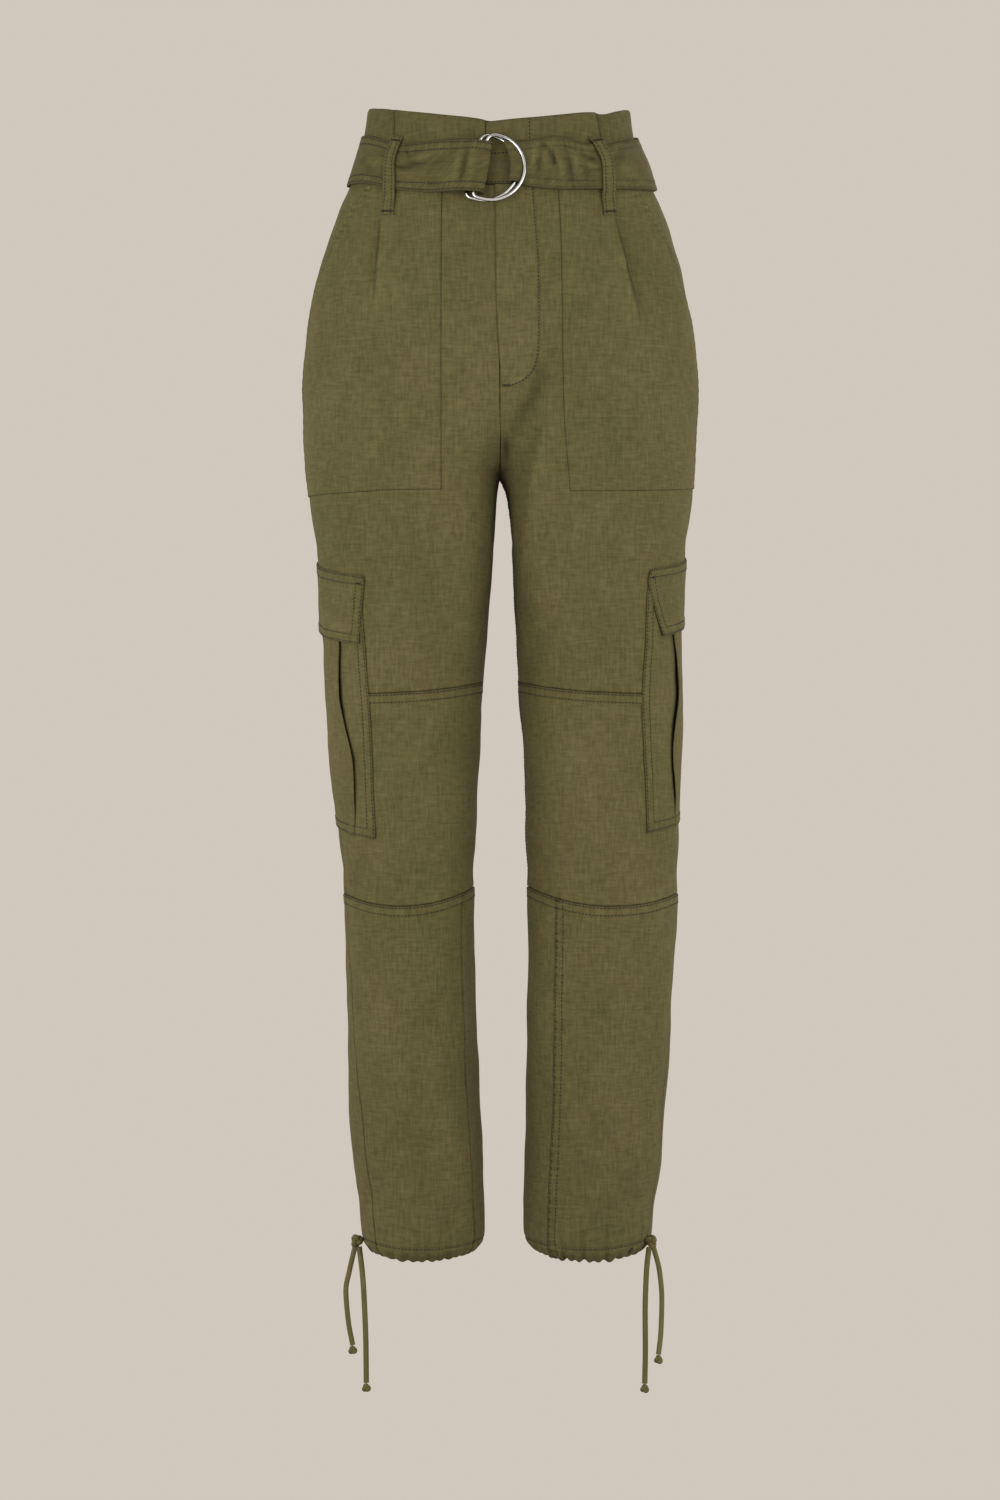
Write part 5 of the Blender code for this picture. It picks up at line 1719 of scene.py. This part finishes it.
def stage(background, ambient):
    scene = bpy.context.scene
    scene.view_settings.view_transform = "Standard"
    scene.world = bpy.data.worlds.new("studio")
    scene.world.use_nodes = True
    tree = scene.world.node_tree
    tree.nodes.clear()
    pale = add(tree, "Background", Color=(*background, 1)).outputs[0]
    soft = add(tree, "Background", Color=(1.0, 0.99, 0.975, 1), Strength=ambient).outputs[0]
    add(tree, "OutputWorld", Surface=mixed(tree, seen_directly(tree), soft, pale))

    bm = bmesh.new()
    bmesh.ops.create_circle(bm, cap_ends=True, segments=96, radius=FLOOR_RADIUS)
    bmesh.ops.translate(bm, vec=(0, 0, FLOOR_Z), verts=bm.verts)
    made, tree, shader = new_material("floor", Roughness=0.9)
    dim = tuple(c * 0.25 for c in background)
    fill(tree, shader, Base_Color=blended(tree, seen_directly(tree), dim, background))
    glow = add(tree, "Emission", Color=(*background, 1))
    flat = add(tree, "Mapping", Vector=add(tree, "TexCoord").outputs["Object"], Scale=(1, 1, 0))
    away = add(tree, "VectorMath")
    away.operation = "LENGTH"
    join(tree, away.inputs[0], flat.outputs["Vector"])
    edge = ranged(tree, away.outputs["Value"], 0.5, 1.35)
    fill(tree, tree.nodes["Material Output"], Surface=mixed(tree, edge, shader.outputs[0], glow.outputs[0]))
    add_object("floor", mesh_from(bm, "floor", made.name), (0.0, 0.0, 0.0))

    lamp("key", (-1.4, -1.8, -0.25), 1.3, 12.8, (0.0, 0.0, 0.0))
    lamp("fill", (1.4, -1.8, -0.3), 1.3, 11.0, (0.0, 0.0, 0.0))
    lamp("left side", (-3.0, -0.9, -0.2), 2.2, 20)
    lamp("right side", (3.0, -0.9, -0.2), 2.2, 21)
    lamp("back", (0.6, 3.4, 1.2), 2.6, 30)


# ---------------------------------------------------------------- add-on


class TrouserSizes(bpy.types.PropertyGroup):
    ply: FloatProperty(name="Ply", description="Thickness of one ply of cloth, in millimetres",
                       default=1.0, min=0.5, max=2.0)
    pitch: FloatProperty(name="Stitch pitch", description="Distance between stitches, in millimetres",
                         default=3.3, min=2.0, max=6.0)
    distance: FloatProperty(name="Camera distance", description="From the camera to the waist",
                            default=4.75, min=1.0, max=20.0, unit="LENGTH")
    eye: FloatProperty(name="Camera height", description="Height of the camera from the waist",
                       default=-0.531, unit="LENGTH")


def colour(name, description, default):
    return FloatVectorProperty(name=name, description=description, subtype="COLOR", default=default,
                               min=0, max=1)


class TrouserColours(bpy.types.PropertyGroup):
    cloth: colour("Cloth", "Olive of the cloth", (0.130, 0.115, 0.0405))
    brown: colour("Faded brown", "Where the dye has turned browner", (0.163, 0.130, 0.0565))
    pale: colour("Slubs", "Paler yarns", (0.205, 0.184, 0.083))
    thread: colour("Thread", "Topstitching thread", (0.020, 0.017, 0.011))
    nickel: colour("Nickel", "Polished rings", (0.92, 0.94, 0.96))
    background: colour("Background", "Floor and backdrop", (0.631, 0.578, 0.509))
    ambient: FloatProperty(name="Ambient", description="Strength of the even light",
                           default=0.42, min=0.0, max=2.0)


def operator(name, label, doc, run):
    """An operator that makes one group of pieces."""

    def execute(self, context):
        run(context.scene.trouser_sizes, context.scene.trouser_colours)
        return {"FINISHED"}

    return type(f"TROUSERS_OT_{name}", (bpy.types.Operator,),
                {"bl_idname": f"trousers.{name}", "bl_label": label, "__doc__": doc, "execute": execute})


STEPS = (
    # name, label, what it does, how
    ("camera", "Camera", "Places the camera before the trousers", lambda s, c: camera(s.distance, s.eye)),
    ("finishes", "Finishes", "Makes the cloth, cord, thread and nickel", lambda s, c: materials(c)),
    ("ties", "Drawcord ends", "Knots and hangs the drawcords at both hems", lambda s, c: ties()),
    ("legs", "Legs", "Makes the fronts, knees and backs", lambda s, c: legs(s.ply)),
    ("lower_legs", "Lower legs", "Makes the shins and calves with hems", lambda s, c: lower_legs(s.ply)),
    ("waistband", "Waistband", "Makes the paperbag band with its tucks", lambda s, c: waistband(s.ply)),
    ("fly", "Fly", "Lays the fly over the centre seam", lambda s, c: fly()),
    ("patch_pockets", "Front pockets", "Lays the pockets on the fronts", lambda s, c: patch_pockets()),
    ("cargo_pockets", "Cargo pockets", "Makes the pleated pockets and flaps", lambda s, c: cargo_pockets()),
    ("belt", "Belt", "Threads the belt through its rings", lambda s, c: belt()),
    ("belt_loops", "Belt loops", "Sews the loops over the belt", lambda s, c: belt_loops()),
    ("rings", "D-rings", "Makes both D-rings", lambda s, c: rings()),
    ("buttonholes", "Buttonholes", "Binds the drawcords' openings", lambda s, c: buttonholes()),
    ("topstitching", "Topstitching", "Sews every row of stitches", lambda s, c: topstitching(s.pitch)),
    ("stage", "Stage", "Sets the floor, backdrop and lamps",
     lambda s, c: stage(tuple(c.background), c.ambient)),
)
OPERATORS = [operator(*step) for step in STEPS]


class TROUSERS_PT_panel(bpy.types.Panel):
    bl_label = "Cargo trousers"
    bl_idname = "TROUSERS_PT_panel"
    bl_space_type = "VIEW_3D"
    bl_region_type = "UI"
    bl_category = "Trousers"

    def draw(self, context):
        for group in (context.scene.trouser_sizes, context.scene.trouser_colours):
            for name in group.__annotations__:
                self.layout.prop(group, name)
        for made in OPERATORS:
            self.layout.operator(made.bl_idname)


CLASSES = [TrouserSizes, TrouserColours, *OPERATORS, TROUSERS_PT_panel]


def register():
    for made in CLASSES:
        bpy.utils.register_class(made)
    bpy.types.Scene.trouser_sizes = PointerProperty(type=TrouserSizes)
    bpy.types.Scene.trouser_colours = PointerProperty(type=TrouserColours)


def unregister():
    del bpy.types.Scene.trouser_colours
    del bpy.types.Scene.trouser_sizes
    for made in reversed(CLASSES):
        bpy.utils.unregister_class(made)


def main():
    register()
    for name, *_ in STEPS:
        getattr(bpy.ops.trousers, name)()


if __name__ == "__main__":
    main()
